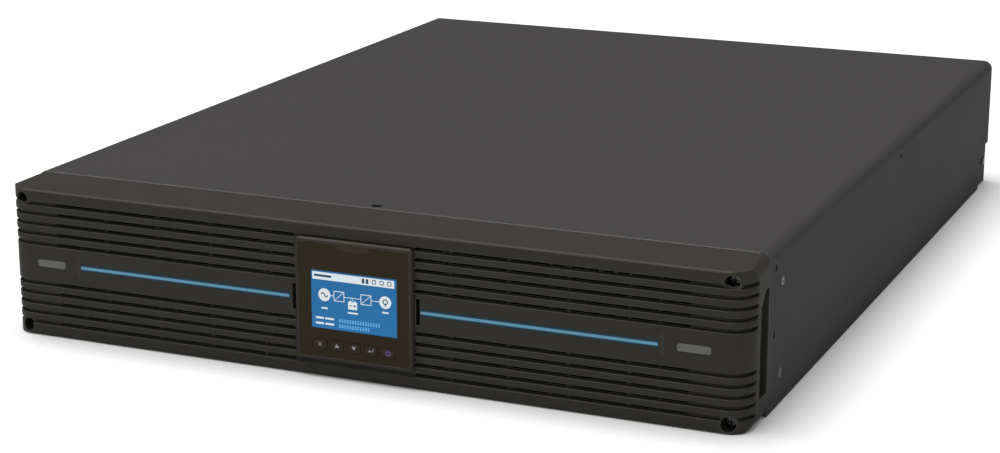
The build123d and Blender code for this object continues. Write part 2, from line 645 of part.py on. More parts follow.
def make_battery_socket():
    """Fixed half of the battery connector, in the wall across the bay's end."""
    y_wall = SEAM_Y + BAY_LENGTH
    y_low = TRAY_BACK_Y + PLUG_REACH + 0.6
    body = plug_block(0, y_low, y_wall + 14) + plug_block(3, y_wall, y_wall + 2)
    return body - plug_blades(1.9, 5.8, y_low - 1, y_low + 13)


# ---------------------------------------------------------------- electronics
SINK_LENGTH, SINK_HEIGHT, SINK_FIN, SINK_PLATE = 170.0, 62.0, 24.0, 4.0
SINK_Y = SEAM_Y + 60.0
SINK_X = (46.0, 92.0)  # outer faces of the two mounting plates, which face each other
STANDOFF_RADIUS = 3.0


def standoff_places():
    for x in (BOARD_X[0] + 6, BOARD_X[1] - 6):
        for i in range(4):
            yield x, BOARD_Y[0] + 8 + i * (BOARD_Y[1] - BOARD_Y[0] - 16) / 3


def make_main_board():
    board = block(BOARD_X, BOARD_Y, (BOARD_Z, BOARD_TOP))
    board -= [rod_z(x, y, 1.7, BOARD_Z - 1, BOARD_TOP + 1) for x, y in standoff_places()]
    return board


def make_board_standoffs():
    return group([rod_z(x, y, STANDOFF_RADIUS, SHEET, BOARD_Z) for x, y in standoff_places()])


def heatsink(plate_x, direction):
    """Finned extrusion along Y: an upright plate whose fins point away from the other heatsink."""
    z = (BOARD_TOP, BOARD_TOP + SINK_HEIGHT)
    y = (SINK_Y, SINK_Y + SINK_LENGTH)
    root = plate_x - direction * SINK_PLATE
    sink = block((plate_x, root), y, z)
    fins, fin = 9, 1.6
    for i in range(fins):
        low = z[0] + i * (SINK_HEIGHT - fin) / (fins - 1)
        sink += block((root, root - direction * SINK_FIN), y, (low, low + fin))
    return sink


def make_heatsinks():
    return group([heatsink(SINK_X[0], 1), heatsink(SINK_X[1], -1)])


def make_power_transistors():
    """A row of flat packages on each heatsink's mounting face."""
    parts = []
    for plate_x, direction in ((SINK_X[0], 1), (SINK_X[1], -1)):
        for i in range(7):
            y = SINK_Y + 15 + i * 23.3
            x = (plate_x, plate_x + direction * 5)
            parts.append(block(x, (y - 8, y + 8), (BOARD_TOP + 20, BOARD_TOP + 41)))
            x = (plate_x + direction * 2, plate_x + direction * 2.8)
            for leg in (-5.4, 0, 5.4):
                parts[-1] += block(x, (y + leg - 0.6, y + leg + 0.6), (BOARD_TOP, BOARD_TOP + 20))
    return group(parts)


def make_bus_capacitors():
    cans = []
    for x in (146.0, 188.0):
        for i in range(4):
            can = rod_z(x, SEAM_Y + 60 + 42 * i, 17.5, BOARD_TOP, BOARD_TOP + 52)
            cans.append(fillet(can.edges().group_by(Axis.Z)[-1], 2.0))
    return group(cans)


CHOKES = ((146.0, SEAM_Y + 262.0), (146.0, SEAM_Y + 334.0))
CHOKE_RADII, CHOKE_HEIGHT, CHOKE_LIFT = (14.0, 27.0), 24.0, 5.0


def make_choke_cores():
    cores = []
    low = BOARD_TOP + CHOKE_LIFT
    high = low + CHOKE_HEIGHT
    for x, y in CHOKES:
        inside = rod_z(x, y, CHOKE_RADII[0], low - 1, high + 1)
        cores.append(rod_z(x, y, CHOKE_RADII[1], low, high) - inside)
    return group(cores)


def make_choke_windings():
    """Single turns spaced round each core, each one a loop round the core's section."""
    wall = CHOKE_RADII[1] - CHOKE_RADII[0]
    clear, wire = 0.6, 2.2
    loop = Box(wall + 2 * (clear + wire), wire, CHOKE_HEIGHT + 2 * (clear + wire))
    loop = fillet(loop.edges().filter_by(Axis.Y), 2.0)
    loop -= Box(wall + 2 * clear, wire + 1, CHOKE_HEIGHT + 2 * clear)
    turns = 18
    z = BOARD_TOP + CHOKE_LIFT + CHOKE_HEIGHT / 2
    one = Pos(sum(CHOKE_RADII) / 2, 0, 0) * loop
    ring = [Rot(0, 0, 360 * i / turns) * one for i in range(turns)]
    return group([Pos(x, y, z) * turn for x, y in CHOKES for turn in ring])


def make_transformer():
    """Charger and inverter transformer: a ferrite core round a wound bobbin."""
    x, y = 60.0, SEAM_Y + 300.0
    core = block((x - 27, x + 27), (y - 10, y + 10), (BOARD_TOP + 3, BOARD_TOP + 49))
    core -= block((x - 19, x + 19), (y - 11, y + 11), (BOARD_TOP + 11, BOARD_TOP + 41))
    coil = block((x - 19, x + 19), (y - 22, y + 22), (BOARD_TOP + 11, BOARD_TOP + 41))
    base = block((x - 25, x + 25), (y - 24, y + 24), (BOARD_TOP, BOARD_TOP + 3))
    return group([union([core, base]), fillet(coil.edges().filter_by(Axis.X), 6.0)])


def make_relays():
    relay = block((188.0, 208.0), (SEAM_Y + 244, SEAM_Y + 272), (BOARD_TOP, BOARD_TOP + 25))
    return group([Pos(0, 34 * i, 0) * relay for i in range(5)])


def make_film_capacitors():
    capacitor = block((18.0, 36.0), (SEAM_Y + 400, SEAM_Y + 432), (BOARD_TOP, BOARD_TOP + 28))
    return group([Pos(22 * i, 0, 0) * capacitor for i in range(4)])


CONTROL_Y = SEAM_Y + 366.0


def make_control_board():
    """Upright plug-in card across the main board, with its chips and its edge socket."""
    card = block((20.0, 116.0), (CONTROL_Y, CONTROL_Y + 1.6), (BOARD_TOP + 6, BOARD_TOP + 62))
    socket = block((24.0, 112.0), (CONTROL_Y - 3, CONTROL_Y + 4.6), (BOARD_TOP, BOARD_TOP + 6))
    y = (CONTROL_Y - 1.8, CONTROL_Y)
    chips = [block((58.0, 78.0), y, (BOARD_TOP + 26, BOARD_TOP + 46))]
    for i in range(7):
        chips.append(block((28.0 + 11 * i, 34.0 + 11 * i), y, (BOARD_TOP + 12, BOARD_TOP + 20)))
    return group([card, socket, *chips])


def make_battery_cables():
    """Two heavy leads from the battery socket, round the end of the bay wall, to the main board."""
    cables = []
    y_wall = SEAM_Y + BAY_LENGTH
    for side, lane in ((-1, 0.0), (1, 5.0)):
        start = (PLUG_X + side * PLUG_SIZE[0] / 4, y_wall + 14, PLUG_Z)
        y_lane = y_wall + 26 - lane
        path = FilletPolyline(
            start,
            (start[0], y_lane, PLUG_Z),
            (-20.0, y_lane, 62.0 + lane / 2),
            (18.0 + lane, y_lane, 60.0 + lane / 2),
            (26.0 + lane, y_wall - 6 - lane, 30.0),
            (26.0 + lane, y_wall - 30 - lane, BOARD_TOP + 2.6),
            radius=4.0,
        )
        section = Plane(origin=start, z_dir=(0, 1, 0)) * Circle(2.2)
        cables.append(sweep(section, path=path))
    return group(cables)


# ---------------------------------------------------------------- fans
def fan_corners(x):
    """The four screw places of the fan at x."""
    half = FAN_HOLE_PITCH / 2
    return [(x + dx * half, FAN_Z + dz * half) for dx in (-1, 1) for dz in (-1, 1)]


def make_fan_housings():
    """Square frames with a round bore, a motor plate on three arms and rounded corners."""
    low, high = REAR_PANEL_Y - SHEET - FAN_DEPTH, REAR_PANEL_Y - SHEET
    frames = []
    for x in FAN_X:
        frame = slab(rounded(FAN_SIZE, FAN_SIZE, 4.0, x, FAN_Z), low, high)
        frame -= rod_y(x, FAN_Z, FAN_BORE, low - 1, high + 1)
        frame -= [rod_y(*place, 2.2, low - 1, high + 1) for place in fan_corners(x)]
        motor = rod_y(x, FAN_Z, 17.0, low, low + 3)
        arm = Pos(x, 0, FAN_Z) * block((-1.6, 1.6), (low, low + 3), (15, FAN_BORE + 0.5))
        arms = [arm.rotate(Axis((x, 0, FAN_Z), (0, 1, 0)), 20 + 120 * i) for i in range(3)]
        frames.append(union([frame, motor, *arms]))
    return group(frames)


def make_fan_rotor(index):
    """Hub and seven pitched blades."""
    low = REAR_PANEL_Y - SHEET - FAN_DEPTH + 3.6
    high = REAR_PANEL_Y - SHEET - 1.0
    x = FAN_X[index]
    hub = rod_y(0, 0, 16.5, low, high)
    hub = fillet(hub.edges().group_by(Axis.Y)[-1], 1.5)
    middle = (low + high) / 2
    blade = Pos(0, middle, 26) * Rot(0, 0, 38) * Box(1.6, 24.0, 24.0)
    rotor = union([hub, *[blade.rotate(Axis.Y, 360 * i / 7) for i in range(7)]])
    reach = rod_y(0, 0, FAN_BORE - 1.4, low + 0.5, high)
    return Pos(x, 0, FAN_Z) * (rotor & reach)


def make_fan_guards():
    """Wire finger guards outside the rear panel: rings on radial wires with four eyes."""
    wire = 0.9
    y = REAR_PANEL_Y + wire
    guards = []
    for x in FAN_X:
        guard = None
        for radius in (9.0, 18.0, 27.0, 36.0):
            ring = Pos(x, y, FAN_Z) * Rot(90, 0, 0) * Torus(radius, wire)
            guard = ring if guard is None else guard + ring
        reach = FAN_HOLE_PITCH / math.sqrt(2)
        for quarter in range(4):
            angle = 45 + 90 * quarter
            spoke = Cylinder(wire, reach - 9.0)
            guard += Pos(x, y, FAN_Z) * Rot(0, angle, 0) * Pos(0, 0, (reach + 9.0) / 2) * spoke
        for place in fan_corners(x):
            guard += rod_y(*place, 3.6, y - wire, y + wire)
            guard -= rod_y(*place, 1.9, y - 2, y + 2)
        guards.append(guard)
    return group(guards)


# ---------------------------------------------------------------- rear panel and its connectors
OUTLET_BODY = (27.0, 22.0, 24.0)
OUTLET_FLANGE = 1.6
INLET = (50.0, 25.0, 27.0)
SLOT_PLATE = (58.0, 27.0)
SLOT_Z = 66.0
SERIAL_X, USB_X, STOP_X, PORT_Z = -196.0, -172.0, -158.5, 38.5
BATTERY_PORT = (42.0, 14.0)
BATTERY_PORT_Z = 15.5
BREAKER_Z, STUD_Z = 60.0, 20.0
BUTTON_RADIUS = 3.8


def outlet_places(bank_x):
    for dx in (-0.5, 0.5):
        for dz in (-0.5, 0.5):
            yield bank_x + dx * OUTLET_PITCH[0], OUTLET_MID_Z + dz * OUTLET_PITCH[1]


def panel_opening(width, height, x, z):
    return slab(rounded(width, height, 0.3, x, z), REAR_PANEL_Y - SHEET - 1, REAR_PANEL_Y + 1)


def make_rear_panel():
    low, high = REAR_PANEL_Y - SHEET, REAR_PANEL_Y
    panel = block((-COVER_INNER_X + GAP, COVER_INNER_X - GAP), (low, high), (0.2, PANEL_TOP))
    panel = panel & slab(rounded(2 * COVER_INNER_X - 2 * GAP, 2 * PANEL_TOP, COVER_BEND - SHEET), low, high)
    for x in FAN_X:
        panel -= rod_y(x, FAN_Z, FAN_BORE, low - 1, high + 1)
    panel -= [rod_y(x, z, 1.6, low - 1, high + 1) for fan_x in FAN_X for x, z in fan_corners(fan_x)]
    for bank_x in OUTLET_X:
        for x, z in outlet_places(bank_x):
            panel -= panel_opening(OUTLET_BODY[0] + 0.2, OUTLET_BODY[2] + 0.2, x, z)
    panel -= panel_opening(33.2, 27.2, POWER_X, 61.0)
    panel -= panel_opening(33.2, INLET[2] + 0.2, POWER_X, 25.0)
    panel -= rod_y(SIDE_COLUMN_X, BREAKER_Z, 6.2, low - 1, high + 1)
    panel -= rod_y(SIDE_COLUMN_X, STUD_Z, 2.7, low - 1, high + 1)
    panel -= panel_opening(SLOT_PLATE[0] - 12, SLOT_PLATE[1] - 6, COMMS_X, SLOT_Z)
    for s in (-1, 1):
        panel -= rod_y(COMMS_X + s * (SLOT_PLATE[0] / 2 - 3.4), SLOT_Z, 1.9, low - 1, high + 1)
    panel -= panel_opening(19.0, 11.0, SERIAL_X, PORT_Z)
    for s in (-1, 1):
        panel -= rod_y(SERIAL_X + s * 12.5, PORT_Z, 1.8, low - 1, high + 1)
    panel -= panel_opening(12.4, 11.4, USB_X, PORT_Z)
    panel -= panel_opening(11.2, 9.2, STOP_X, PORT_Z)
    return panel - panel_opening(BATTERY_PORT[0] + 0.2, BATTERY_PORT[1] + 0.2, COMMS_X, BATTERY_PORT_Z)


def outlet(x, z, body, channel, slots):
    """A panel outlet: a flange outside, a keyed channel round an island, and blade slots."""
    width, depth, height = body
    y = REAR_PANEL_Y
    shape = slab(rounded(width, height, 1.0, x, z), y - depth, y)
    shape += slab(rounded(width + 2.4, height + 2.4, 1.6, x, z), y, y + OUTLET_FLANGE)
    cw, ch, cut, island = channel
    outer = Pos(x, z) * keyed_outline(cw, ch, cut)
    inner = Pos(x, z) * keyed_outline(cw - 2 * island, ch - 2 * island, cut)
    shape -= slab(outer - inner, y - depth + 6, y + OUTLET_FLANGE + 1)
    for sx, sz, sw, sh in slots:
        shape -= slab(Pos(x + sx, z + sz) * Rectangle(sw, sh), y - depth + 6, y + OUTLET_FLANGE + 1)
    return shape


def keyed_outline(width, height, cut):
    """A rectangle with its two upper corners cut off."""
    w, h = width / 2, height / 2
    corners = [(-w, -h), (w, -h), (w, h - cut), (w - cut, h), (cut - w, h), (-w, h - cut)]
    return make_face(Polyline(*corners, close=True))


C13_CHANNEL = (24.0, 16.0, 4.4, 2.6)
C13_SLOTS = ((-7.0, -2.0, 2.0, 4.2), (7.0, -2.0, 2.0, 4.2), (0.0, 2.0, 2.0, 4.2))
C19_BODY = (33.0, 24.0, 27.0)
C19_CHANNEL = (28.0, 19.0, 1.0, 2.8)
C19_SLOTS = ((-7.0, -3.5, 2.6, 6.0), (7.0, -3.5, 2.6, 6.0), (0.0, 3.0, 2.6, 6.0))


def make_outlet_bank(index):
    places = outlet_places(OUTLET_X[index])
    return group([outlet(x, z, OUTLET_BODY, C13_CHANNEL, C13_SLOTS) for x, z in places])


def make_large_outlet():
    return outlet(POWER_X, 61.0, C19_BODY, C19_CHANNEL, C19_SLOTS)


INLET_CAVITY = (26.0, 17.0, 19.0)
INLET_Z = 25.0


def make_power_inlet():
    """Recessed mains inlet."""
    y = REAR_PANEL_Y
    shape = slab(rounded(33.0, INLET[2], 1.0, POWER_X, INLET_Z), y - INLET[1], y)
    shape += slab(rounded(36.0, INLET[2] + 2.6, 1.8, POWER_X, INLET_Z), y, y + OUTLET_FLANGE)
    width, height, depth = INLET_CAVITY
    top = y + OUTLET_FLANGE
    shape -= slab(rounded(width, height, 1.0, POWER_X, INLET_Z), top - depth, top + 1)
    hole = Rectangle(2.2, 8.2)
    return shape - [slab(Pos(x, z) * hole, top - depth - 3, top) for x, z in inlet_pin_places()]


def inlet_pin_places():
    return ((POWER_X - 8.5, INLET_Z - 2.5), (POWER_X + 8.5, INLET_Z - 2.5), (POWER_X, INLET_Z + 3.0))


def make_inlet_pins():
    top = REAR_PANEL_Y + OUTLET_FLANGE
    depth = INLET_CAVITY[2]
    pin = Rectangle(2.0, 8.0)
    return group([slab(Pos(x, z) * pin, top - depth - 2.8, top - 3) for x, z in inlet_pin_places()])


def make_breaker_body():
    """Thermal breaker: a case inside, and a threaded collar with a nut outside."""
    x, z, y = SIDE_COLUMN_X, BREAKER_Z, REAR_PANEL_Y
    case = block((x - 8, x + 8), (y - SHEET - 30, y - SHEET), (z - 15, z + 15))
    collar = rod_y(x, z, 6.0, y - SHEET, y + 4.5)
    nut = slab(Pos(x, z) * RegularPolygon(8.0, 6), y, y + 2.2)
    return union([case, collar, nut]) - rod_y(x, z, BUTTON_RADIUS + GAP, y - 8, y + 6)


def make_breaker_button():
    x, z, y = SIDE_COLUMN_X, BREAKER_Z, REAR_PANEL_Y
    button = rod_y(x, z, BUTTON_RADIUS, y - 7.5, y + 5.2)
    return fillet(button.edges().group_by(Axis.Y)[-1], 0.8)


def make_usb_port():
    """Square upright socket with its contact tongue."""
    x, z, y = USB_X, PORT_Z, REAR_PANEL_Y
    shell = block((x - 6.0, x + 6.0), (y - 16, y + 0.6), (z - 5.5, z + 5.5))
    shell -= slab(Pos(x, z) * keyed_outline(8.6, 8.0, 1.6), y - 10, y + 2)
    return shell + block((x - 2.9, x + 2.9), (y - 10, y - 1.4), (z - 1.6, z + 1.6))


def make_serial_port():
    """Nine-way socket with a raised shell and two hexagonal screw posts."""
    x, z, y = SERIAL_X, PORT_Z, REAR_PANEL_Y
    body = block((x - 9.0, x + 9.0), (y - 12, y), (z - 5.2, z + 5.2))
    outline = make_face(Polyline((-8.4, 4.0), (8.4, 4.0), (7.2, -4.0), (-7.2, -4.0), close=True))
    outline = fillet(outline.vertices(), 1.4)
    shell = slab(Pos(x, z) * outline, y, y + 5.6)
    for row, count in ((1.4, 5), (-1.4, 4)):
        for i in range(count):
            shell -= rod_y(x + 2.7 * (i - (count - 1) / 2), z + row, 0.6, y + 1, y + 7)
    posts = []
    for s in (-1, 1):
        post = slab(Pos(x + s * 12.5, z) * RegularPolygon(2.6, 6), y, y + 4.6)
        posts.append(post - rod_y(x + s * 12.5, z, 1.3, y + 1, y + 6))
    return group([body + shell, *posts])


def make_stop_terminal():
    """Two-way terminal for a remote emergency-stop contact."""
    x, z, y = STOP_X, PORT_Z, REAR_PANEL_Y
    body = block((x - 5.5, x + 5.5), (y - 10, y + 4.0), (z - 4.5, z + 4.5))
    for s in (-1, 1):
        body -= block((x + s * 2.6 - 1.6, x + s * 2.6 + 1.6), (y - 2, y + 5), (z - 3.2, z - 0.4))
        body -= rod_y(x + s * 2.6, z + 2.2, 1.2, y + 1.5, y + 5)
    return body


def make_slot_cover():
    """Plate over the communication card slot, with a shallow pressed step."""
    low, high = REAR_PANEL_Y, REAR_PANEL_Y + SHEET
    plate = slab(rounded(*SLOT_PLATE, 1.5, COMMS_X, SLOT_Z), low, high)
    plate += slab(rounded(34.0, 16.0, 2.0, COMMS_X, SLOT_Z), high, high + 0.8)
    for s in (-1, 1):
        plate -= rod_y(COMMS_X + s * (SLOT_PLATE[0] / 2 - 3.4), SLOT_Z, 1.9, low - 1, high + 1)
    return plate


def make_slot_thumbscrews():
    """The two longest things on the rear: they set how far it stands proud."""
    seat = REAR_PANEL_Y + SHEET
    screw = Rot(0, 0, 180) * thumbscrew(3.3, REAR_Y + REAR_PROUD - seat, 1.7, 5.0)
    return group([Pos(COMMS_X + s * (SLOT_PLATE[0] / 2 - 3.4), seat, SLOT_Z) * screw for s in (-1, 1)])


def make_battery_port():
    """Two-pole socket for an external battery cabinet."""
    x, z, y = COMMS_X, BATTERY_PORT_Z, REAR_PANEL_Y
    width, height = BATTERY_PORT
    body = slab(rounded(width, height, 1.0, x, z), y - 30, y + 5.0)
    for centre in (x - width / 4, x + width / 4):
        body -= slab(rounded(width / 2 - 5, height - 5, 1.5, centre, z), y - 14, y + 6)
        body += slab(Pos(centre, z) * Rectangle(width / 2 - 10, 2.6), y - 14.2, y - 1)
    return body


def make_ground_stud():
    x, z, y = SIDE_COLUMN_X, STUD_Z, REAR_PANEL_Y
    stud = rod_y(x, z, 2.5, y - 8, y + 7.0)
    washer = rod_y(x, z, 6.0, y, y + 1.0)
    nut = slab(Pos(x, z) * RegularPolygon(4.6, 6), y + 1.0, y + 4.4)
    return union([stud, washer, nut])


def make_rear_screws():
    """Fan screws over the guards' eyes."""
    seat = REAR_PANEL_Y + 1.8
    head = Rot(-90, 0, 0) * screw_head(3.2, 1.8, 1.1)
    places = [place for fan_x in FAN_X for place in fan_corners(fan_x)]
    return group([Pos(x, seat, z) * head + rod_y(x, z, 1.4, seat - 6, seat) for x, z in places])


# ---------------------------------------------------------------- all nodes
def nodes():
    made = {
        "top_cover": make_top_cover(),
        "base_tray": make_base_tray(),
        "front_panel": make_front_panel(),
        "bay_wall": make_bay_wall(),
        "rear_panel": make_rear_panel(),
        "cover_screws": make_cover_screws(),
        "bezel": make_bezel(),
        "light_strips": make_light_strips(),
        "badges": make_badges(),
        "bezel_screws": make_bezel_screws(),
        "display_carrier": make_display_carrier(),
        "display_frame": make_display_frame(),
        "display_window": make_display_window(),
        "display_screen": make_display_screen(),
        "display_board": make_display_board(),
        "status_lens": make_status_lens(),
        "battery_tray": make_battery_tray(),
        "tray_handle": make_tray_handle(),
        "tray_thumbscrews": make_tray_thumbscrews(),
        "battery_blocks": make_battery_blocks(),
        "battery_terminals": make_battery_terminals(),
        "battery_leads": make_battery_leads(),
        "battery_plug": make_battery_plug(),
        "battery_socket": make_battery_socket(),
        "battery_cables": make_battery_cables(),
        "main_board": make_main_board(),
        "board_standoffs": make_board_standoffs(),
        "heatsinks": make_heatsinks(),
        "power_transistors": make_power_transistors(),
        "bus_capacitors": make_bus_capacitors(),
        "choke_cores": make_choke_cores(),
        "choke_windings": make_choke_windings(),
        "transformer": make_transformer(),
        "relays": make_relays(),
        "film_capacitors": make_film_capacitors(),
        "control_board": make_control_board(),
        "fan_housings": make_fan_housings(),
        "fan_rotor_left": make_fan_rotor(0),
        "fan_rotor_right": make_fan_rotor(1),
        "fan_guards": make_fan_guards(),
        "rear_screws": make_rear_screws(),
        "outlet_bank_left": make_outlet_bank(0),
        "outlet_bank_right": make_outlet_bank(1),
        "large_outlet": make_large_outlet(),
        "power_inlet": make_power_inlet(),
        "inlet_pins": make_inlet_pins(),
        "breaker_body": make_breaker_body(),
        "breaker_button": make_breaker_button(),
        "usb_port": make_usb_port(),
        "serial_port": make_serial_port(),
        "stop_terminal": make_stop_terminal(),
        "slot_cover": make_slot_cover(),
        "slot_thumbscrews": make_slot_thumbscrews(),
        "battery_port": make_battery_port(),
        "ground_stud": make_ground_stud(),
    }
    for i, name in enumerate(KEY_NAMES):
        made[name] = make_key(i)
    return made


os.makedirs("parts", exist_ok=True)
for node_name, shape in nodes().items():
    export_step(shape, f"parts/{node_name}.step")
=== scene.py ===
"""Looks for a two-unit rack or tower uninterruptible power supply. Metres, -Y is the front."""
import json
import math
import random

import bmesh
import bpy
from mathutils import Matrix, Vector


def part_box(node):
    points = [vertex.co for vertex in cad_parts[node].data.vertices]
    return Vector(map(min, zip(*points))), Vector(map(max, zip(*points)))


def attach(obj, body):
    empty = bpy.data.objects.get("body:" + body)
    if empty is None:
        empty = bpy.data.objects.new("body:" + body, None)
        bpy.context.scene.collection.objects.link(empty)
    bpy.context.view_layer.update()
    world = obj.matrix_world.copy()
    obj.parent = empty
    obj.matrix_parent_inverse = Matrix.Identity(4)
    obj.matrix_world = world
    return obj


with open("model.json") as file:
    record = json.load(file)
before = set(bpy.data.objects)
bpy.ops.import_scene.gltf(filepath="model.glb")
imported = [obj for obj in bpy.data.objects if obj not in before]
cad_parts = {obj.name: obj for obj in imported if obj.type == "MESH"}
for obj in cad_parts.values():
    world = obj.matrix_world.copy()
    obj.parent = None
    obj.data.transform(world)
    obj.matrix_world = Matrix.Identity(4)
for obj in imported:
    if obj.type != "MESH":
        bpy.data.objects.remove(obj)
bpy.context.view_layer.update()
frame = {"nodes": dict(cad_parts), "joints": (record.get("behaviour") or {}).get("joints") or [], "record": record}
NODES = frame["nodes"]
MM = 0.001

# Places read from the frame
FACE_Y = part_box("bezel")[0].y
HEAD_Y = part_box("display_frame")[0].y
SCREEN_LOW, SCREEN_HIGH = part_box("display_screen")
REAR_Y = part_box("rear_panel")[1].y


# ---------------------------------------------------------------- camera, floor and light
SENSOR_WIDTH, FOCAL_LENGTH = 36.0, 82.9  # millimetres
CAMERA_SIDE, CAMERA_AHEAD, CAMERA_HEIGHT = 0.5352, 1.0491, 0.4089  # from the middle of the face's foot
CAMERA_YAW, CAMERA_PITCH, CAMERA_ROLL = 23.24, 15.34, 0.07  # degrees


def add_camera():
    data = bpy.data.cameras.new("camera")
    camera = bpy.data.objects.new("camera", data)
    bpy.context.scene.collection.objects.link(camera)
    data.sensor_width = SENSOR_WIDTH
    data.lens = FOCAL_LENGTH
    yaw, pitch, roll = (math.radians(a) for a in (CAMERA_YAW, CAMERA_PITCH, CAMERA_ROLL))
    camera.location = (CAMERA_SIDE, FACE_Y - CAMERA_AHEAD, CAMERA_HEIGHT)
    turn = Matrix.Rotation(yaw, 4, "Z") @ Matrix.Rotation(math.pi / 2 - pitch, 4, "X")
    camera.rotation_euler = (turn @ Matrix.Rotation(roll, 4, "Z")).to_euler()
    data.clip_end = 20.0
    bpy.context.scene.camera = camera


def add_area_light(name, place, target, size, power):
    data = bpy.data.lights.new(name, "AREA")
    data.shape = "RECTANGLE"
    data.size, data.size_y = size
    data.energy = power
    light = bpy.data.objects.new(name, data)
    bpy.context.scene.collection.objects.link(light)
    light.location = place
    aim = Vector(target) - Vector(place)
    light.rotation_euler = aim.to_track_quat("-Z", "Y").to_euler()


def add_world():
    """Soft surroundings: dim at the horizon and brighter overhead."""
    world = bpy.data.worlds.new("studio")
    world.use_nodes = True
    tree = world.node_tree
    background = tree.nodes["Background"]
    direction = tree.nodes.new("ShaderNodeTexCoord")
    split = tree.nodes.new("ShaderNodeSeparateXYZ")
    ramp = tree.nodes.new("ShaderNodeValToRGB")
    ramp.color_ramp.elements[0].position = 0.0
    ramp.color_ramp.elements[0].color = (0.07, 0.07, 0.065, 1.0)
    ramp.color_ramp.elements[1].position = 0.85
    ramp.color_ramp.elements[1].color = (1.0, 0.99, 1.0, 1.0)
    tree.links.new(direction.outputs["Generated"], split.inputs["Vector"])
    tree.links.new(split.outputs["Z"], ramp.inputs["Fac"])
    tree.links.new(ramp.outputs["Color"], background.inputs["Color"])
    background.inputs["Strength"].default_value = 0.7
    bpy.context.scene.world = world


def add_studio():
    scene = bpy.context.scene
    scene.view_settings.view_transform = "Standard"
    scene.view_settings.look = "None"
    add_world()
    middle = (0.0, 0.0, 0.05)
    add_area_light("overhead", (-0.5, -0.1, 3.2), middle, (1.9, 1.9), 88.0)
    add_area_light("front", (-0.9, -2.4, 1.1), middle, (1.4, 1.0), 7.0)

    bpy.ops.mesh.primitive_plane_add(size=12.0, location=(0, 0, 0))
    floor = bpy.context.object
    floor.name = "floor"
    material = bpy.data.materials.new("pale_floor")
    material.use_nodes = True
    shader = material.node_tree.nodes["Principled BSDF"]
    shader.inputs["Base Color"].default_value = (0.93, 0.93, 0.93, 1.0)
    shader.inputs["Roughness"].default_value = 0.9
    shader.inputs["Specular IOR Level"].default_value = 0.1
    floor.data.materials.append(material)


add_camera()
add_studio()


# ---------------------------------------------------------------- materials
class Recipe:
    """A material under construction: its node tree, with short calls for the nodes it needs."""

    def __init__(self, name):
        self.material = bpy.data.materials.new(name)
        self.material.use_nodes = True
        self.tree = self.material.node_tree
        self.shader = self.tree.nodes["Principled BSDF"]
        coordinates = self.node("ShaderNodeTexCoord")
        self.place = coordinates.outputs["Object"]
        self.facing = coordinates.outputs["Normal"]

    def node(self, kind, **settings):
        made = self.tree.nodes.new(kind)
        for key, value in settings.items():
            setattr(made, key, value)
        return made

    def link(self, output, socket):
        self.tree.links.new(output, socket)

    def set(self, **values):
        for key, value in values.items():
            self.shader.inputs[key.replace("_", " ")].default_value = value
        return self

    def stretched(self, scale):
        mapping = self.node("ShaderNodeMapping")
        mapping.inputs["Scale"].default_value = scale
        self.link(self.place, mapping.inputs["Vector"])
        return mapping.outputs["Vector"]

    def noise(self, scale, detail=3.0, roughness=0.5, vector=None):
        made = self.node("ShaderNodeTexNoise")
        made.inputs["Scale"].default_value = scale
        made.inputs["Detail"].default_value = detail
        made.inputs["Roughness"].default_value = roughness
        self.link(vector or self.place, made.inputs["Vector"])
        return made.outputs["Fac"]

    def cells(self, scale):
        made = self.node("ShaderNodeTexVoronoi")
        made.inputs["Scale"].default_value = scale
        self.link(self.place, made.inputs["Vector"])
        return made.outputs["Distance"]

    def spread(self, value, low, high, from_low=0.3, from_high=0.7):
        """Maps the middle of a texture's range to low..high."""
        made = self.node("ShaderNodeMapRange")
        made.inputs["From Min"].default_value = from_low
        made.inputs["From Max"].default_value = from_high
        made.inputs["To Min"].default_value = low
        made.inputs["To Max"].default_value = high
        self.link(value, made.inputs["Value"])
        return made.outputs["Result"]

    def mix(self, factor, first, second):
        made = self.node("ShaderNodeMix", data_type="RGBA")
        for socket, value in ((made.inputs[6], first), (made.inputs[7], second)):
            if isinstance(value, tuple):
                socket.default_value = (*value[:3], 1.0)
            else:
                self.link(value, socket)
        self.link(factor, made.inputs[0])
        return made.outputs[2]

    def color(self, value):
        self.link(value, self.shader.inputs["Base Color"])
        return self

    def roughness(self, value):
        self.link(value, self.shader.inputs["Roughness"])
        return self

    def bump(self, height, distance, strength=1.0):
        made = self.node("ShaderNodeBump")
        made.inputs["Distance"].default_value = distance
        made.inputs["Strength"].default_value = strength
        self.link(height, made.inputs["Height"])
        earlier = self.shader.inputs["Normal"].links
        if earlier:
            self.link(earlier[0].from_socket, made.inputs["Normal"])
        self.link(made.outputs["Normal"], self.shader.inputs["Normal"])
        return self


def shade(color, factor):
    return tuple(c * factor for c in color)


def edge_mask(recipe, radius):
    """Softens sharp edges, and returns one along them, falling to zero away from them."""
    bevel = recipe.node("ShaderNodeBevel", samples=6)
    bevel.inputs["Radius"].default_value = radius
    recipe.link(bevel.outputs["Normal"], recipe.shader.inputs["Normal"])
    flat = recipe.node("ShaderNodeNewGeometry")
    dot = recipe.node("ShaderNodeVectorMath", operation="DOT_PRODUCT")
    recipe.link(bevel.outputs["Normal"], dot.inputs[0])
    recipe.link(flat.outputs["Normal"], dot.inputs[1])
    return recipe.spread(dot.outputs["Value"], 1.0, 0.0, 0.80, 0.995)


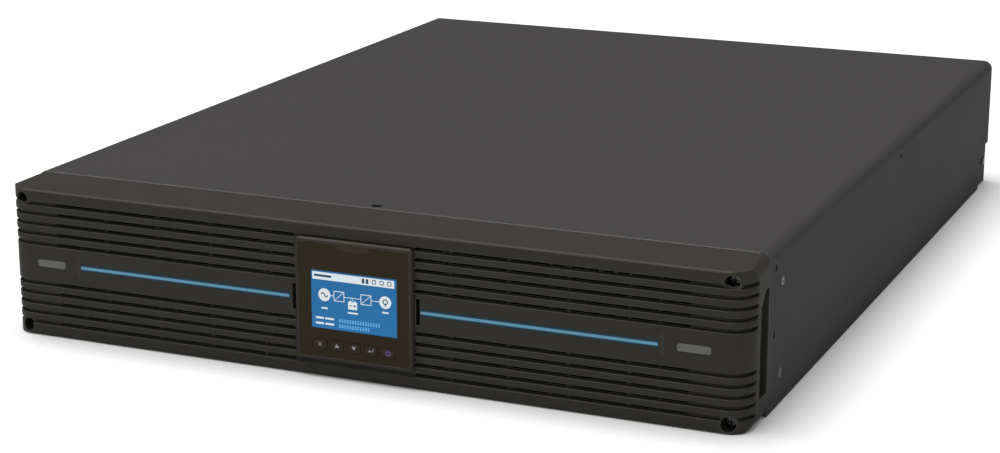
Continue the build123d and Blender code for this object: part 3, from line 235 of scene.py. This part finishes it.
def powder_coat(name, color):
    """Baked powder paint: fine orange peel and a faint random change of tone, with a painted highlight along the
    edges.
    """
    r = Recipe(name).set(Specular_IOR_Level=0.008)
    field = r.mix(r.spread(r.noise(5.0, 2.0), 0.0, 1.0), shade(color, 0.985), shade(color, 1.015))
    speck = r.mix(r.spread(r.noise(1900.0, 2.0), 0.0, 1.0), field, shade(color, 1.12))
    # painted highlight: the colour turns 2.8 times paler along sharp edges
    r.color(r.mix(edge_mask(r, 0.0012), speck, shade(color, 2.8)))
    r.roughness(r.spread(r.noise(30.0), 0.50, 0.56))
    r.bump(r.noise(1500.0, 2.0), 0.00006, 0.3)
    return r.material


def rounded_front(recipe):
    """The mask of a painted highlight: one on surfaces that face halfway between forwards and upwards, falling to
    zero on flat ones.
    """
    dot = recipe.node("ShaderNodeVectorMath", operation="DOT_PRODUCT")
    recipe.link(recipe.facing, dot.inputs[0])
    dot.inputs[1].default_value = (0.0, -math.sqrt(0.5), math.sqrt(0.5))
    return recipe.spread(dot.outputs["Value"], 0.0, 1.0, 0.84, 0.97)


def moulded(name, color, grain=2600.0, rough=(0.46, 0.54), edge=1.9, soft=0.0004, front_highlight=1.0):
    """Spark-eroded plastic. Sharp edges get a painted highlight, paler by edge, and rounded front ones a painted
    highlight, paler by front_highlight.
    """
    r = Recipe(name).set(Specular_IOR_Level=0.025)
    field = r.mix(r.spread(r.noise(14.0, 3.0), 0.0, 1.0), shade(color, 0.97), shade(color, 1.03))
    # painted highlights: first on rounded faces turned forwards and upwards, then along sharp edges
    field = r.mix(rounded_front(r), field, shade(color, front_highlight))
    r.color(r.mix(edge_mask(r, soft), field, shade(color, edge)))
    r.roughness(r.spread(r.noise(60.0), *rough))
    r.bump(r.noise(grain, 1.5, 0.6), 0.00004, 0.4)
    return r.material


def glossy(name, color, rough=(0.08, 0.14), coat=0.0, specular=0.3):
    """Polished plastic with faint handling marks."""
    r = Recipe(name).set(Specular_IOR_Level=specular, Coat_Weight=coat, Coat_Roughness=0.06)
    r.color(r.mix(r.spread(r.noise(25.0), 0.0, 1.0), shade(color, 0.97), shade(color, 1.03)))
    r.roughness(r.spread(r.noise(70.0, 6.0, 0.7), *rough))
    r.bump(r.noise(120.0, 1.0), 0.00001, 0.15)
    return r.material


STRIP_RIM = (0.55 * MM, 0.95 * MM)  # from the strip's middle line, where its edge colour sets in


def striped(name, core, edge):
    """A translucent strip, paler along its middle line."""
    r = Recipe(name).set(Roughness=0.3, Specular_IOR_Level=0.2)
    low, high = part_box("light_strips")
    split = r.node("ShaderNodeSeparateXYZ")
    r.link(r.place, split.inputs["Vector"])
    away = r.node("ShaderNodeMath", operation="SUBTRACT")
    r.link(split.outputs["Z"], away.inputs[0])
    away.inputs[1].default_value = (low.z + high.z) / 2
    size = r.node("ShaderNodeMath", operation="ABSOLUTE")
    r.link(away.outputs["Value"], size.inputs[0])
    rim = r.spread(size.outputs["Value"], 0.0, 1.0, *STRIP_RIM)
    grain = r.spread(r.noise(300.0), 0.9, 1.0)
    shaded = r.node("ShaderNodeVectorMath", operation="SCALE")
    r.link(r.mix(rim, core, edge), shaded.inputs[0])
    r.link(grain, shaded.inputs["Scale"])
    r.color(shaded.outputs[0])
    r.link(shaded.outputs[0], r.shader.inputs["Emission Color"])
    return r.set(Emission_Strength=0.08).material


def printed(name, color, glow=0.0):
    """Ink, lit segments, or painted highlight and shade lines: an even colour with a fine grain."""
    r = Recipe(name).set(Roughness=0.45, Specular_IOR_Level=0.15)
    field = r.mix(r.spread(r.noise(2400.0, 2.0), 0.0, 1.0), shade(color, 0.93), color)
    r.color(field)
    r.link(field, r.shader.inputs["Emission Color"])
    return r.set(Emission_Strength=glow).material


def brushed(name, color, along=(1.0, 40.0, 40.0)):
    """Metal with fine lines along the axis whose stretch is smallest."""
    r = Recipe(name).set(Metallic=1.0)
    lines = r.noise(60.0, 4.0, 0.6, r.stretched(along))
    r.color(r.mix(r.spread(lines, 0.0, 1.0), shade(color, 0.88), color))
    r.roughness(r.spread(lines, 0.26, 0.42))
    r.bump(lines, 0.00003, 0.25)
    return r.material


def zinc_plated(name, color):
    """Galvanised sheet: large pale crystals with soft edges and a little dullness."""
    r = Recipe(name).set(Metallic=0.9)
    crystals = r.node("ShaderNodeTexVoronoi")
    crystals.inputs["Scale"].default_value = 130.0
    r.link(r.place, crystals.inputs["Vector"])
    value = r.node("ShaderNodeSeparateColor")
    r.link(crystals.outputs["Color"], value.inputs["Color"])
    level = r.spread(value.outputs["Red"], 0.0, 1.0, 0.0, 1.0)
    r.color(r.mix(level, shade(color, 0.82), shade(color, 1.05)))
    r.roughness(r.spread(r.noise(40.0, 4.0), 0.34, 0.52))
    r.bump(r.noise(900.0), 0.00002, 0.3)
    return r.material


def plated_screw(name, color, rough=(0.22, 0.38)):
    """Plated or tinned metal, duller where it has been handled."""
    r = Recipe(name).set(Metallic=1.0)
    wear = r.noise(400.0, 5.0, 0.65)
    r.color(r.mix(r.spread(wear, 0.0, 1.0), shade(color, 0.72), color))
    r.roughness(r.spread(wear, rough[1], rough[0]))
    r.bump(r.noise(1500.0), 0.00002, 0.3)
    return r.material


def circuit_board(name, color):
    """Solder mask over copper tracks, with scattered pads."""
    r = Recipe(name).set(Specular_IOR_Level=0.5, Coat_Weight=0.3, Coat_Roughness=0.15)
    tracks = r.node("ShaderNodeTexBrick")
    tracks.inputs["Scale"].default_value = 120.0
    tracks.inputs["Mortar Size"].default_value = 0.035
    tracks.offset = 0.37
    tracks.inputs["Color1"].default_value = (*color, 1.0)
    tracks.inputs["Color2"].default_value = (*shade(color, 0.8), 1.0)
    tracks.inputs["Mortar"].default_value = (*shade(color, 1.9), 1.0)
    r.link(r.place, tracks.inputs["Vector"])
    pads = r.spread(r.cells(420.0), 1.0, 0.0, 0.10, 0.16)
    r.color(r.mix(pads, tracks.outputs["Color"], (0.62, 0.58, 0.42)))
    r.roughness(r.spread(r.noise(90.0), 0.24, 0.38))
    r.bump(tracks.outputs["Fac"], 0.00004, 0.4)
    return r.material


def insulation(name, color):
    """Flexible cable covering."""
    r = Recipe(name).set(Specular_IOR_Level=0.4, Sheen_Weight=0.1)
    r.color(r.mix(r.spread(r.noise(120.0), 0.0, 1.0), shade(color, 0.85), color))
    r.roughness(r.spread(r.noise(200.0), 0.42, 0.6))
    r.bump(r.noise(1200.0), 0.00003, 0.3)
    return r.material


def wound_copper(name, color):
    """Lacquered copper wire."""
    r = Recipe(name).set(Metallic=1.0, Coat_Weight=0.7, Coat_Roughness=0.1)
    r.color(r.mix(r.spread(r.noise(300.0), 0.0, 1.0), shade(color, 0.8), color))
    r.roughness(r.spread(r.noise(500.0), 0.2, 0.34))
    return r.material


def lit(name, color, glow):
    """A backlit panel, a little darker towards its upper edge."""
    r = Recipe(name).set(Roughness=0.2, Specular_IOR_Level=0.15)
    split = r.node("ShaderNodeSeparateXYZ")
    r.link(r.place, split.inputs["Vector"])
    height = r.spread(split.outputs["Z"], 0.0, 1.0, SCREEN_LOW.z, SCREEN_HIGH.z)
    r.color(shaded_field(r, height, color))
    r.link(shaded_field(r, height, glow), r.shader.inputs["Emission Color"])
    return r.set(Emission_Strength=1.0).material


def shaded_field(recipe, height, color):
    """A colour that falls off with height, with the display's fine grain over it."""
    field = recipe.mix(height, shade(color, 1.06), shade(color, 0.92))
    scaled = recipe.node("ShaderNodeVectorMath", operation="SCALE")
    recipe.link(field, scaled.inputs[0])
    recipe.link(recipe.spread(recipe.noise(1800.0, 1.0), 0.96, 1.04), scaled.inputs["Scale"])
    return scaled.outputs[0]


CASE_BLACK = (0.049, 0.0465, 0.0475)
BEZEL_BLACK = (0.0355, 0.0340, 0.0295)
MATERIALS = {
    "case_paint": powder_coat("case_paint", CASE_BLACK),
    "black_sheet": powder_coat("black_sheet", (0.010, 0.010, 0.0105)),
    "zinc_sheet": zinc_plated("zinc_sheet", (0.60, 0.61, 0.62)),
    "dark_screw": plated_screw("dark_screw", (0.09, 0.09, 0.095)),
    "bright_screw": plated_screw("bright_screw", (0.62, 0.62, 0.60)),
    # edge and front_highlight set the painted highlights on the bezel's and the display's edges
    "bezel_plastic": moulded("bezel_plastic", BEZEL_BLACK, edge=3.2, soft=0.0009, front_highlight=1.9),
    "blue_strip": striped("blue_strip", (0.107, 0.29, 0.42), (0.006, 0.040, 0.075)),
    "badge_plate": moulded("badge_plate", (0.13, 0.13, 0.125), 1800.0, (0.4, 0.5)),
    "display_plastic": moulded(
        "display_plastic", (0.026, 0.024, 0.020), 3000.0, (0.3, 0.4), edge=5.0, soft=0.0009, front_highlight=2.6
    ),
    "window_gloss": glossy("window_gloss", (0.024, 0.0185, 0.0075), specular=0.07),
    "screen_blue": lit("screen_blue", (0.006, 0.045, 0.100), (0.008, 0.105, 0.270)),
    "board_green": circuit_board("board_green", (0.015, 0.13, 0.06)),
    "lens_smoke": glossy("lens_smoke", (0.030, 0.022, 0.013), specular=0.12),
    "key_gloss": glossy("key_gloss", (0.026, 0.0205, 0.010), (0.2, 0.3), specular=0.09),
    "battery_case": moulded("battery_case", (0.055, 0.057, 0.062), 1400.0),
    "tinned_metal": plated_screw("tinned_metal", (0.75, 0.74, 0.70)),
    "lead_red": insulation("lead_red", (0.42, 0.025, 0.020)),
    "connector_grey": moulded("connector_grey", (0.26, 0.27, 0.28)),
    "sink_aluminium": brushed("sink_aluminium", (0.72, 0.73, 0.74), (40.0, 1.0, 40.0)),
    "chip_black": moulded("chip_black", (0.016, 0.016, 0.018), 3200.0),
    "can_sleeve": glossy("can_sleeve", (0.018, 0.026, 0.055), (0.2, 0.32), 0.2),
    "core_green": moulded("core_green", (0.08, 0.19, 0.10), 900.0),
    "copper_wire": wound_copper("copper_wire", (0.72, 0.34, 0.16)),
    "tape_yellow": glossy("tape_yellow", (0.66, 0.45, 0.06), (0.2, 0.34), 0.2),
    "relay_black": moulded("relay_black", (0.022, 0.022, 0.026)),
    "film_red": glossy("film_red", (0.42, 0.055, 0.035), (0.16, 0.3)),
    "fan_plastic": moulded("fan_plastic", (0.020, 0.020, 0.022), 2200.0),
    "guard_chrome": plated_screw("guard_chrome", (0.70, 0.71, 0.72), (0.12, 0.22)),
    "socket_plastic": moulded("socket_plastic", (0.024, 0.024, 0.026)),
    "contact_nickel": plated_screw("contact_nickel", (0.72, 0.70, 0.64)),
    "button_white": moulded("button_white", (0.74, 0.74, 0.72), 2400.0, (0.3, 0.4)),
    "port_metal": brushed("port_metal", (0.64, 0.65, 0.66), (40.0, 1.0, 40.0)),
    "terminal_green": moulded("terminal_green", (0.03, 0.26, 0.09)),
    "stud_brass": plated_screw("stud_brass", (0.70, 0.52, 0.22)),
}


LIT_WHITE = printed("lit_white", (0.42, 0.46, 0.48), 0.85)
LIT_BLUE = printed("lit_pale_blue", (0.06, 0.22, 0.42), 0.9)
INK_GREY = printed("ink_grey", (0.30, 0.29, 0.30), 0.05)
INK_PURPLE = printed("ink_purple", (0.16, 0.10, 0.30), 0.25)
INK_DARK = printed("ink_dark", (0.02, 0.06, 0.12))
LABEL_SILVER = printed("label_silver", (0.34, 0.35, 0.36))
LABEL_BLACK = printed("label_black", (0.02, 0.02, 0.022))
PANEL_INK = printed("panel_ink", (0.22, 0.22, 0.22))
# painted highlight along the cover's front edge
COVER_EDGE_HIGHLIGHT = printed("painted_edge_highlight", (0.42, 0.41, 0.38))
# painted shadow along the edges of the light strips
STRIP_SHADE = printed("painted_strip_shade", (0.011, 0.028, 0.036))
# painted shade standing in for grooves past the display
GROOVE_SHADE = printed("painted_groove_shade", (0.004, 0.004, 0.0035))


def dress_nodes():
    for part in frame["record"]["subparts"]:
        for slot in NODES[part["node"]].material_slots:
            slot.material = MATERIALS[part["material_slot"]]


dress_nodes()


# ---------------------------------------------------------------- drawn marks
class Sketch:
    """Flat figures in the plane of the front face, which become thin raised plates."""

    def __init__(self, left, top):
        self.left, self.top = left, top
        self.figures = []

    def polygon(self, points):
        """Points in millimetres, right of and below the sketch's top left corner."""
        self.figures.append([(self.left + x * MM, self.top - z * MM) for x, z in points])

    def bar(self, x, z, width, height):
        self.polygon([(x, z), (x + width, z), (x + width, z + height), (x, z + height)])

    def line(self, start, end, width=0.3):
        along = Vector(end) - Vector(start)
        aside = Vector((-along.y, along.x)).normalized() * width / 2
        corners = (Vector(start) + aside, Vector(end) + aside, Vector(end) - aside, Vector(start) - aside)
        self.polygon([tuple(c) for c in corners])

    def outline(self, x, z, width, height, thick=0.35):
        corners = [(x, z), (x + width, z), (x + width, z + height), (x, z + height)]
        for start, end in zip(corners, corners[1:] + corners[:1]):
            self.line(start, end, thick)

    def arc(self, x, z, radius, thick, start=0.0, end=360.0, steps=32):
        """A band along a circle, from one angle to another, in short straight pieces."""
        inner, outer = radius - thick / 2, radius + thick / 2
        for i in range(steps):
            a, b = (math.radians(start + (end - start) * k / steps) for k in (i, i + 1))
            ring = [(a, inner), (a, outer), (b, outer), (b, inner)]
            self.polygon([(x + r * math.cos(t), z + r * math.sin(t)) for t, r in ring])

    def disc(self, x, z, radius):
        steps = 40
        turn = 2 * math.pi / steps
        points = [(x + radius * math.cos(turn * k), z + radius * math.sin(turn * k)) for k in range(steps)]
        self.polygon(points)

    def wave(self, x, z, width, height, thick=0.35):
        """One period of a sine curve."""
        steps = 16
        places = [i / steps for i in range(steps + 1)]
        points = [(x + width * t, z - height * math.sin(2 * math.pi * t)) for t in places]
        for start, end in zip(points, points[1:]):
            self.line(start, end, thick)

    def build(self, name, front, back, material, body, slot):
        """Turns the figures into one mesh of plates between two depths."""
        mesh = bmesh.new()
        for figure in self.figures:
            near = [mesh.verts.new((x, front, z)) for x, z in figure]
            far = [mesh.verts.new((x, back, z)) for x, z in figure]
            mesh.faces.new(near)
            mesh.faces.new(list(reversed(far)))
            for i in range(len(figure)):
                k = (i + 1) % len(figure)
                mesh.faces.new((near[k], near[i], far[i], far[k]))
        return add_piece(name, mesh, material, body)


def add_piece(name, mesh, material, body):
    """Puts a finished mesh in the scene as one piece that moves with a body."""
    bmesh.ops.recalc_face_normals(mesh, faces=mesh.faces)
    data = bpy.data.meshes.new(name)
    mesh.to_mesh(data)
    mesh.free()
    data.materials.append(material)
    piece = bpy.data.objects.new(name, data)
    bpy.context.scene.collection.objects.link(piece)
    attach(piece, body)
    return piece


FLANGE = 2.05 * MM  # the glass stands this far inside the screen's hidden rim
GLASS_WIDTH = SCREEN_HIGH.x - SCREEN_LOW.x - 2 * FLANGE
GLASS_SET_BACK = 0.20 * MM  # behind the display's front
FILM = 0.03 * MM


def screen_sketch():
    return Sketch(SCREEN_LOW.x + FLANGE, SCREEN_HIGH.z - FLANGE)


def screen_plate(sketch, name, material, layer=1):
    """Lays a sketch on the glass, each layer in front of the one before."""
    back = HEAD_Y + GLASS_SET_BACK - (layer - 1) * FILM - 0.3 * FILM
    sketch.build(name, back - 0.6 * FILM, back, material, "display", "screen_blue")


BAR_HEIGHT = 4.2
FLOW_Z = 13.4  # height of the power flow line, from the top of the screen


def add_screen_marks():
    width = GLASS_WIDTH / MM
    bar = screen_sketch()
    bar.bar(0.8, 0.9, width - 2.2, BAR_HEIGHT)
    screen_plate(bar, "screen_status_bar", LIT_WHITE)
    marks = screen_sketch()
    marks.bar(1.8, 2.3, 10.4, 1.2)
    for x in (30.4, 32.8):
        marks.bar(x, 1.7, 1.5, 2.6)
    for x in (36.6, 41.2, 45.6):
        marks.outline(x, 1.9, 2.0, 2.0, 0.4)
    screen_plate(marks, "screen_status_marks", INK_DARK, 2)

    icons = screen_sketch()
    for x, radius in ((7.9, 3.6), (44.1, 3.5)):
        icons.disc(x, FLOW_Z, radius)
    for x in (13.6, 29.7):
        icons.outline(x, FLOW_Z - 2.7, 6.0, 5.4, 0.4)
        icons.line((x, FLOW_Z + 2.7), (x + 6.0, FLOW_Z - 2.7), 0.3)
    for start, end in ((11.3, 13.6), (19.6, 29.7), (35.7, 40.8)):
        icons.line((start, FLOW_Z), (end, FLOW_Z), 0.35)
    icons.line((24.6, FLOW_Z), (24.6, 15.2), 0.35)
    icons.bar(22.0, 15.6, 5.4, 4.2)
    icons.bar(22.9, 14.9, 1.1, 0.8)
    icons.bar(25.4, 14.9, 1.1, 0.8)
    for x, z, length in ((6.0, 20.4, 3.8), (21.8, 21.3, 6.0), (42.2, 18.6, 3.8)):
        icons.bar(x, z, length, 0.9)
    for row in (26.0, 29.0):
        icons.bar(2.4, row, 5.0, 1.1)
        icons.bar(8.2, row, 5.2, 1.1)
    screen_plate(icons, "screen_icons", LIT_WHITE)
    signs = screen_sketch()
    signs.wave(6.0, FLOW_Z, 3.8, 1.2, 0.6)
    signs.arc(44.1, FLOW_Z - 0.3, 1.3, 0.6)
    signs.bar(43.8, FLOW_Z + 0.9, 0.6, 1.3)
    signs.bar(22.9, 17.4, 1.4, 0.45)
    signs.bar(25.3, 17.4, 1.4, 0.45)
    signs.bar(25.78, 16.92, 0.45, 1.4)
    screen_plate(signs, "screen_icon_signs", INK_DARK, 2)

    level = screen_sketch()
    for row, count in ((25.8, 16), (28.9, 12)):
        for i in range(count):
            level.bar(16.5 + 1.55 * i, row, 0.95, 2.1)
    screen_plate(level, "screen_level_bars", LIT_BLUE)


def draw_escape(sketch):
    sketch.line((-1.0, -1.0), (1.0, 1.0), 0.42)
    sketch.line((-1.0, 1.0), (1.0, -1.0), 0.42)


def draw_up(sketch):
    sketch.polygon([(-1.35, 0.95), (0.0, -1.15), (1.35, 0.95)])


def draw_down(sketch):
    sketch.polygon([(-1.35, -0.95), (1.35, -0.95), (0.0, 1.15)])


def draw_enter(sketch):
    sketch.line((1.3, -1.2), (1.3, 0.6), 0.42)
    sketch.line((1.5, 0.4), (-0.6, 0.4), 0.42)
    sketch.polygon([(-1.6, 0.4), (-0.5, -0.5), (-0.5, 1.3)])


def draw_power(sketch):
    sketch.arc(0.0, 0.15, 1.25, 0.42, -55.0, 235.0, 24)
    sketch.line((0.0, -1.65), (0.0, -0.05), 0.42)


KEY_MARKS = {
    "key_escape": (draw_escape, INK_GREY),
    "key_up": (draw_up, INK_GREY),
    "key_down": (draw_down, INK_GREY),
    "key_enter": (draw_enter, INK_GREY),
    "key_power": (draw_power, INK_PURPLE),
}


def add_key_marks():
    for key, (draw, ink) in KEY_MARKS.items():
        low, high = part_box(key)
        sketch = Sketch((low.x + high.x) / 2, (low.z + high.z) / 2)
        draw(sketch)
        sketch.build(key + "_mark", low.y - 0.5 * FILM, low.y + 0.3 * FILM, ink, key, "key_gloss")


# ---------------------------------------------------------------- rear details
def joint_place(name):
    return next(Vector(j["pos_m"]) for j in frame["joints"] if j["name"] == name)


def add_fan_labels():
    """A round foil label on each fan's hub, with a turning arrow in three parts."""
    for side in ("left", "right"):
        rotor = "fan_rotor_" + side
        centre = joint_place("fan_spin_" + side)
        hub_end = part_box(rotor)[1].y
        foil = Sketch(centre.x, centre.z)
        foil.disc(0, 0, 13.0)
        depth = (hub_end - FILM, hub_end + 3 * FILM)
        foil.build("fan_label_" + side, *depth, LABEL_SILVER, rotor, "fan_plastic")
        marks = Sketch(centre.x, centre.z)
        marks.arc(0, 0, 12.0, 0.5)
        for start in (0.0, 120.0, 240.0):
            marks.arc(0, 0, 8.5, 0.9, start, start + 70.0, 14)
            tip, heel = math.radians(start + 84.0), math.radians(start + 70.0)
            corners = [(8.5, tip), (7.2, heel), (9.8, heel)]
            marks.polygon([(r * math.cos(t), r * math.sin(t)) for r, t in corners])
        marks.disc(0, 0, 3.0)
        ink = (hub_end + 2 * FILM, hub_end + 4 * FILM)
        marks.build("fan_label_marks_" + side, *ink, LABEL_BLACK, rotor, "fan_plastic")


OUTLET_STEP = (30.0, 27.0)
SMALL_SLOTS = ((-7.0, -2.0, 2.0, 4.2), (7.0, -2.0, 2.0, 4.2), (0.0, 2.0, 2.0, 4.2))
LARGE_SLOTS = ((-7.0, -3.5, 2.6, 6.0), (7.0, -3.5, 2.6, 6.0), (0.0, 3.0, 2.6, 6.0))
LEAF = 0.35
LEAF_NEAR, LEAF_FAR = 3.2 * MM, 15 * MM  # the leaves' depth behind the outlet's mouth


def add_contacts(name, centres, slots, outer_y):
    """Sprung contact leaves along both sides of each blade slot, set back from the mouth."""
    leaves = Sketch(0.0, 0.0)
    for centre_x, centre_z in centres:
        for x, z, width, height in slots:
            left, top = centre_x / MM + x - width / 2, -(centre_z / MM + z + height / 2)
            for edge in (left + 0.05, left + width - LEAF - 0.05):
                leaves.bar(edge, top + 0.3, LEAF, height - 0.6)
    depth = (outer_y - LEAF_FAR, outer_y - LEAF_NEAR)
    leaves.build(name, *depth, MATERIALS["contact_nickel"], "case", "contact_nickel")


def box_middle(node):
    low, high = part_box(node)
    return (low.x + high.x) / 2, (low.z + high.z) / 2


def add_outlet_contacts():
    for side in ("left", "right"):
        bank = "outlet_bank_" + side
        x, z = box_middle(bank)
        dx, dz = (step * MM / 2 for step in OUTLET_STEP)
        centres = [(x + i * dx, z + k * dz) for i in (-1, 1) for k in (-1, 1)]
        add_contacts("outlet_contacts_" + side, centres, SMALL_SLOTS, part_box(bank)[1].y)
    outer_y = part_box("large_outlet")[1].y
    add_contacts("large_outlet_contacts", [box_middle("large_outlet")], LARGE_SLOTS, outer_y)


# ---------------------------------------------------------------- lines along the front, in millimetres
COVER_BEND = 6.0  # radius of the cover's side bends
HIGHLIGHT_TOP, HIGHLIGHT_HEIGHT = 0.02, 0.42  # the painted highlight line, down from the cover's top
STRIP_X = (39.2, 171.6)  # both ends of the right light strip
# heights of the painted shadow lines above and below each strip
SHADOW_ABOVE, SHADOW_BELOW = 0.9, 0.6
GROOVE_START = 35.8  # from the middle of the face
GROOVE_WIDTH = 2.0
GROOVE_ENDS = (8.1, 77.9)  # heights of the lowest and highest grooves


def add_cover_edge_highlight():
    """Painted highlight: a pale line along the cover's front edge, above the bezel, standing in for light caught
    by the edge.
    """
    low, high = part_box("top_cover")
    edge = Sketch(low.x, high.z)
    edge.bar(COVER_BEND, HIGHLIGHT_TOP, (high.x - low.x) / MM - 2 * COVER_BEND, HIGHLIGHT_HEIGHT)
    edge.build("cover_edge_highlight", low.y - FILM, low.y, COVER_EDGE_HIGHLIGHT, "case", "case_paint")


def add_strip_shadows():
    """Painted shadow: dark lines along both edges of each light strip, where the lips of its recess shade the
    face.
    """
    low, high = (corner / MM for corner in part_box("light_strips"))
    length = STRIP_X[1] - STRIP_X[0]
    shadows = Sketch(0.0, 0.0)
    for x in (STRIP_X[0], -STRIP_X[1]):
        shadows.bar(x, -high.z - SHADOW_ABOVE, length, SHADOW_ABOVE)
        shadows.bar(x, -low.z, length, SHADOW_BELOW)
    shadows.build("strip_painted_shadows", FACE_Y - FILM, FACE_Y, STRIP_SHADE, "bezel", "bezel_plastic")


def add_display_groove_shadows():
    """Painted shade: flat dark lines that carry the lowest and highest grooves past the display, standing in for
    the shade in a groove.
    """
    groove_shadows = Sketch(0.0, 0.0)
    for z in GROOVE_ENDS:
        groove_shadows.bar(-GROOVE_START, -z - GROOVE_WIDTH / 2, 2 * GROOVE_START, GROOVE_WIDTH)
    groove_shadows.build("display_groove_shadows", FACE_Y - FILM, FACE_Y, GROOVE_SHADE, "bezel", "bezel_plastic")


def add_panel_lines():
    """Printed frames round the outlet groups and the ports."""
    lines = Sketch(0.0, 0.0)
    for node in ("outlet_bank_left", "outlet_bank_right", "large_outlet", "power_inlet"):
        low, high = (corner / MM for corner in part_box(node))
        width, height = high.x - low.x, high.z - low.z
        lines.outline(low.x - 1.0, -high.z - 1.0, width + 2.0, height + 2.0)
    lines.build("panel_lines", REAR_Y - FILM, REAR_Y + 0.4 * FILM, PANEL_INK, "case", "case_paint")


# ---------------------------------------------------------------- small components on the main board
BOARD_LOW, BOARD_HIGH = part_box("main_board")
BOARD_MARGIN = 6 * MM
TALLEST = 9 * MM
BOARD_NEIGHBOURS = (
    "heatsinks", "power_transistors", "bus_capacitors", "choke_cores", "choke_windings", "transformer",
    "relays", "film_capacitors", "control_board", "battery_cables", "battery_socket", "fan_housings",
    "board_standoffs", "breaker_body", "large_outlet", "power_inlet", "outlet_bank_left",
    "outlet_bank_right",
)
REACH = {"chip": 6.0 * MM, "resistor": 3.0 * MM, "can": 4.5 * MM}
TRIES = 420


def add_box(mesh, low, high, turn=0.0):
    """A chamfered block between two corners, turned about its own upright axis."""
    size = high - low
    made = bmesh.ops.create_cube(mesh, size=1.0)["verts"]
    bmesh.ops.scale(mesh, vec=size, verts=made)
    edges = list({e for v in made for e in v.link_edges})
    cut = min(size) * 0.12
    made = bmesh.ops.bevel(mesh, geom=made + edges, offset=cut, segments=2, affect="EDGES")["verts"]
    bmesh.ops.rotate(mesh, cent=(0, 0, 0), matrix=Matrix.Rotation(turn, 3, "Z"), verts=made)
    bmesh.ops.translate(mesh, vec=(low + high) / 2, verts=made)


def add_can(mesh, place, radius, height):
    """An upright capacitor can with a rolled groove near its foot and a slight crown."""
    profile = ((0.84, 1.0), (0.96, 0.96), (1.0, 0.9), (1.0, 0.2), (0.9, 0.15), (1.0, 0.1), (1.0, 0.0))
    steps = 20
    rings = []
    for across, up in profile:
        angles = [2 * math.pi * i / steps for i in range(steps)]
        points = [(across * radius * math.cos(a), across * radius * math.sin(a), up * height) for a in angles]
        rings.append([mesh.verts.new(place + Vector(p)) for p in points])
    for upper, lower in zip(rings, rings[1:]):
        for i in range(steps):
            k = (i + 1) % steps
            mesh.faces.new((upper[i], lower[i], lower[k], upper[k]))
    mesh.faces.new(rings[0])
    mesh.faces.new(list(reversed(rings[-1])))


def space_above(x, y, reach):
    """True where nothing of the case stands on the board within reach of a point."""
    start = BOARD_HIGH.z + 0.3 * MM
    for dx in (-1, 0, 1):
        for dy in (-1, 0, 1):
            origin = Vector((x + dx * reach, y + dy * reach, start))
            inside = BOARD_LOW.x < origin.x < BOARD_HIGH.x and BOARD_LOW.y < origin.y < BOARD_HIGH.y
            if not inside or any(blocks(NODES[node], origin) for node in BOARD_NEIGHBOURS):
                return False
    return True


def blocks(node, origin):
    """True where a node stands in a component's way, seen from below or from above."""
    up = Vector((0, 0, 1))
    if node.ray_cast(origin, up, distance=TALLEST)[0]:
        return True
    down = node.ray_cast(origin + TALLEST * up, -up, distance=TALLEST)
    return down[0]


def add_board_parts():
    """Chips, resistors and small capacitors, scattered where the board is free."""
    draw = random.Random(7)
    chips, resistors, cans = bmesh.new(), bmesh.new(), bmesh.new()
    taken = []
    for _ in range(TRIES):
        x = draw.uniform(BOARD_LOW.x + BOARD_MARGIN, BOARD_HIGH.x - BOARD_MARGIN)
        y = draw.uniform(BOARD_LOW.y + BOARD_MARGIN, BOARD_HIGH.y - BOARD_MARGIN)
        kind = draw.choice(("chip", "resistor", "resistor", "can"))
        reach = REACH[kind]
        turn = draw.choice((0.0, math.pi / 2))
        scale = draw.uniform(0.8, 1.15)
        crowded = any(math.hypot(x - tx, y - ty) < reach + tr for tx, ty, tr in taken)
        if crowded or not space_above(x, y, reach):
            continue
        taken.append((x, y, reach))
        foot = Vector((x, y, BOARD_HIGH.z))
        if kind == "can":
            add_can(cans, foot, 2.9 * MM * scale, 7.5 * MM * scale)
            continue
        half = Vector((4.2, 3.2, 0)) if kind == "chip" else Vector((1.6, 0.8, 0))
        half *= MM * scale
        tall = Vector((0, 0, 1.6 * MM if kind == "chip" else 0.7 * MM))
        add_box(chips if kind == "chip" else resistors, foot - half, foot + half + tall, turn)
    add_piece("board_chips", chips, MATERIALS["chip_black"], "case")
    add_piece("board_resistors", resistors, MATERIALS["relay_black"], "case")
    add_piece("board_small_capacitors", cans, MATERIALS["can_sleeve"], "case")


add_screen_marks()
add_key_marks()
add_fan_labels()
add_outlet_contacts()
add_cover_edge_highlight()
add_strip_shadows()
add_display_groove_shadows()
add_panel_lines()
add_board_parts()
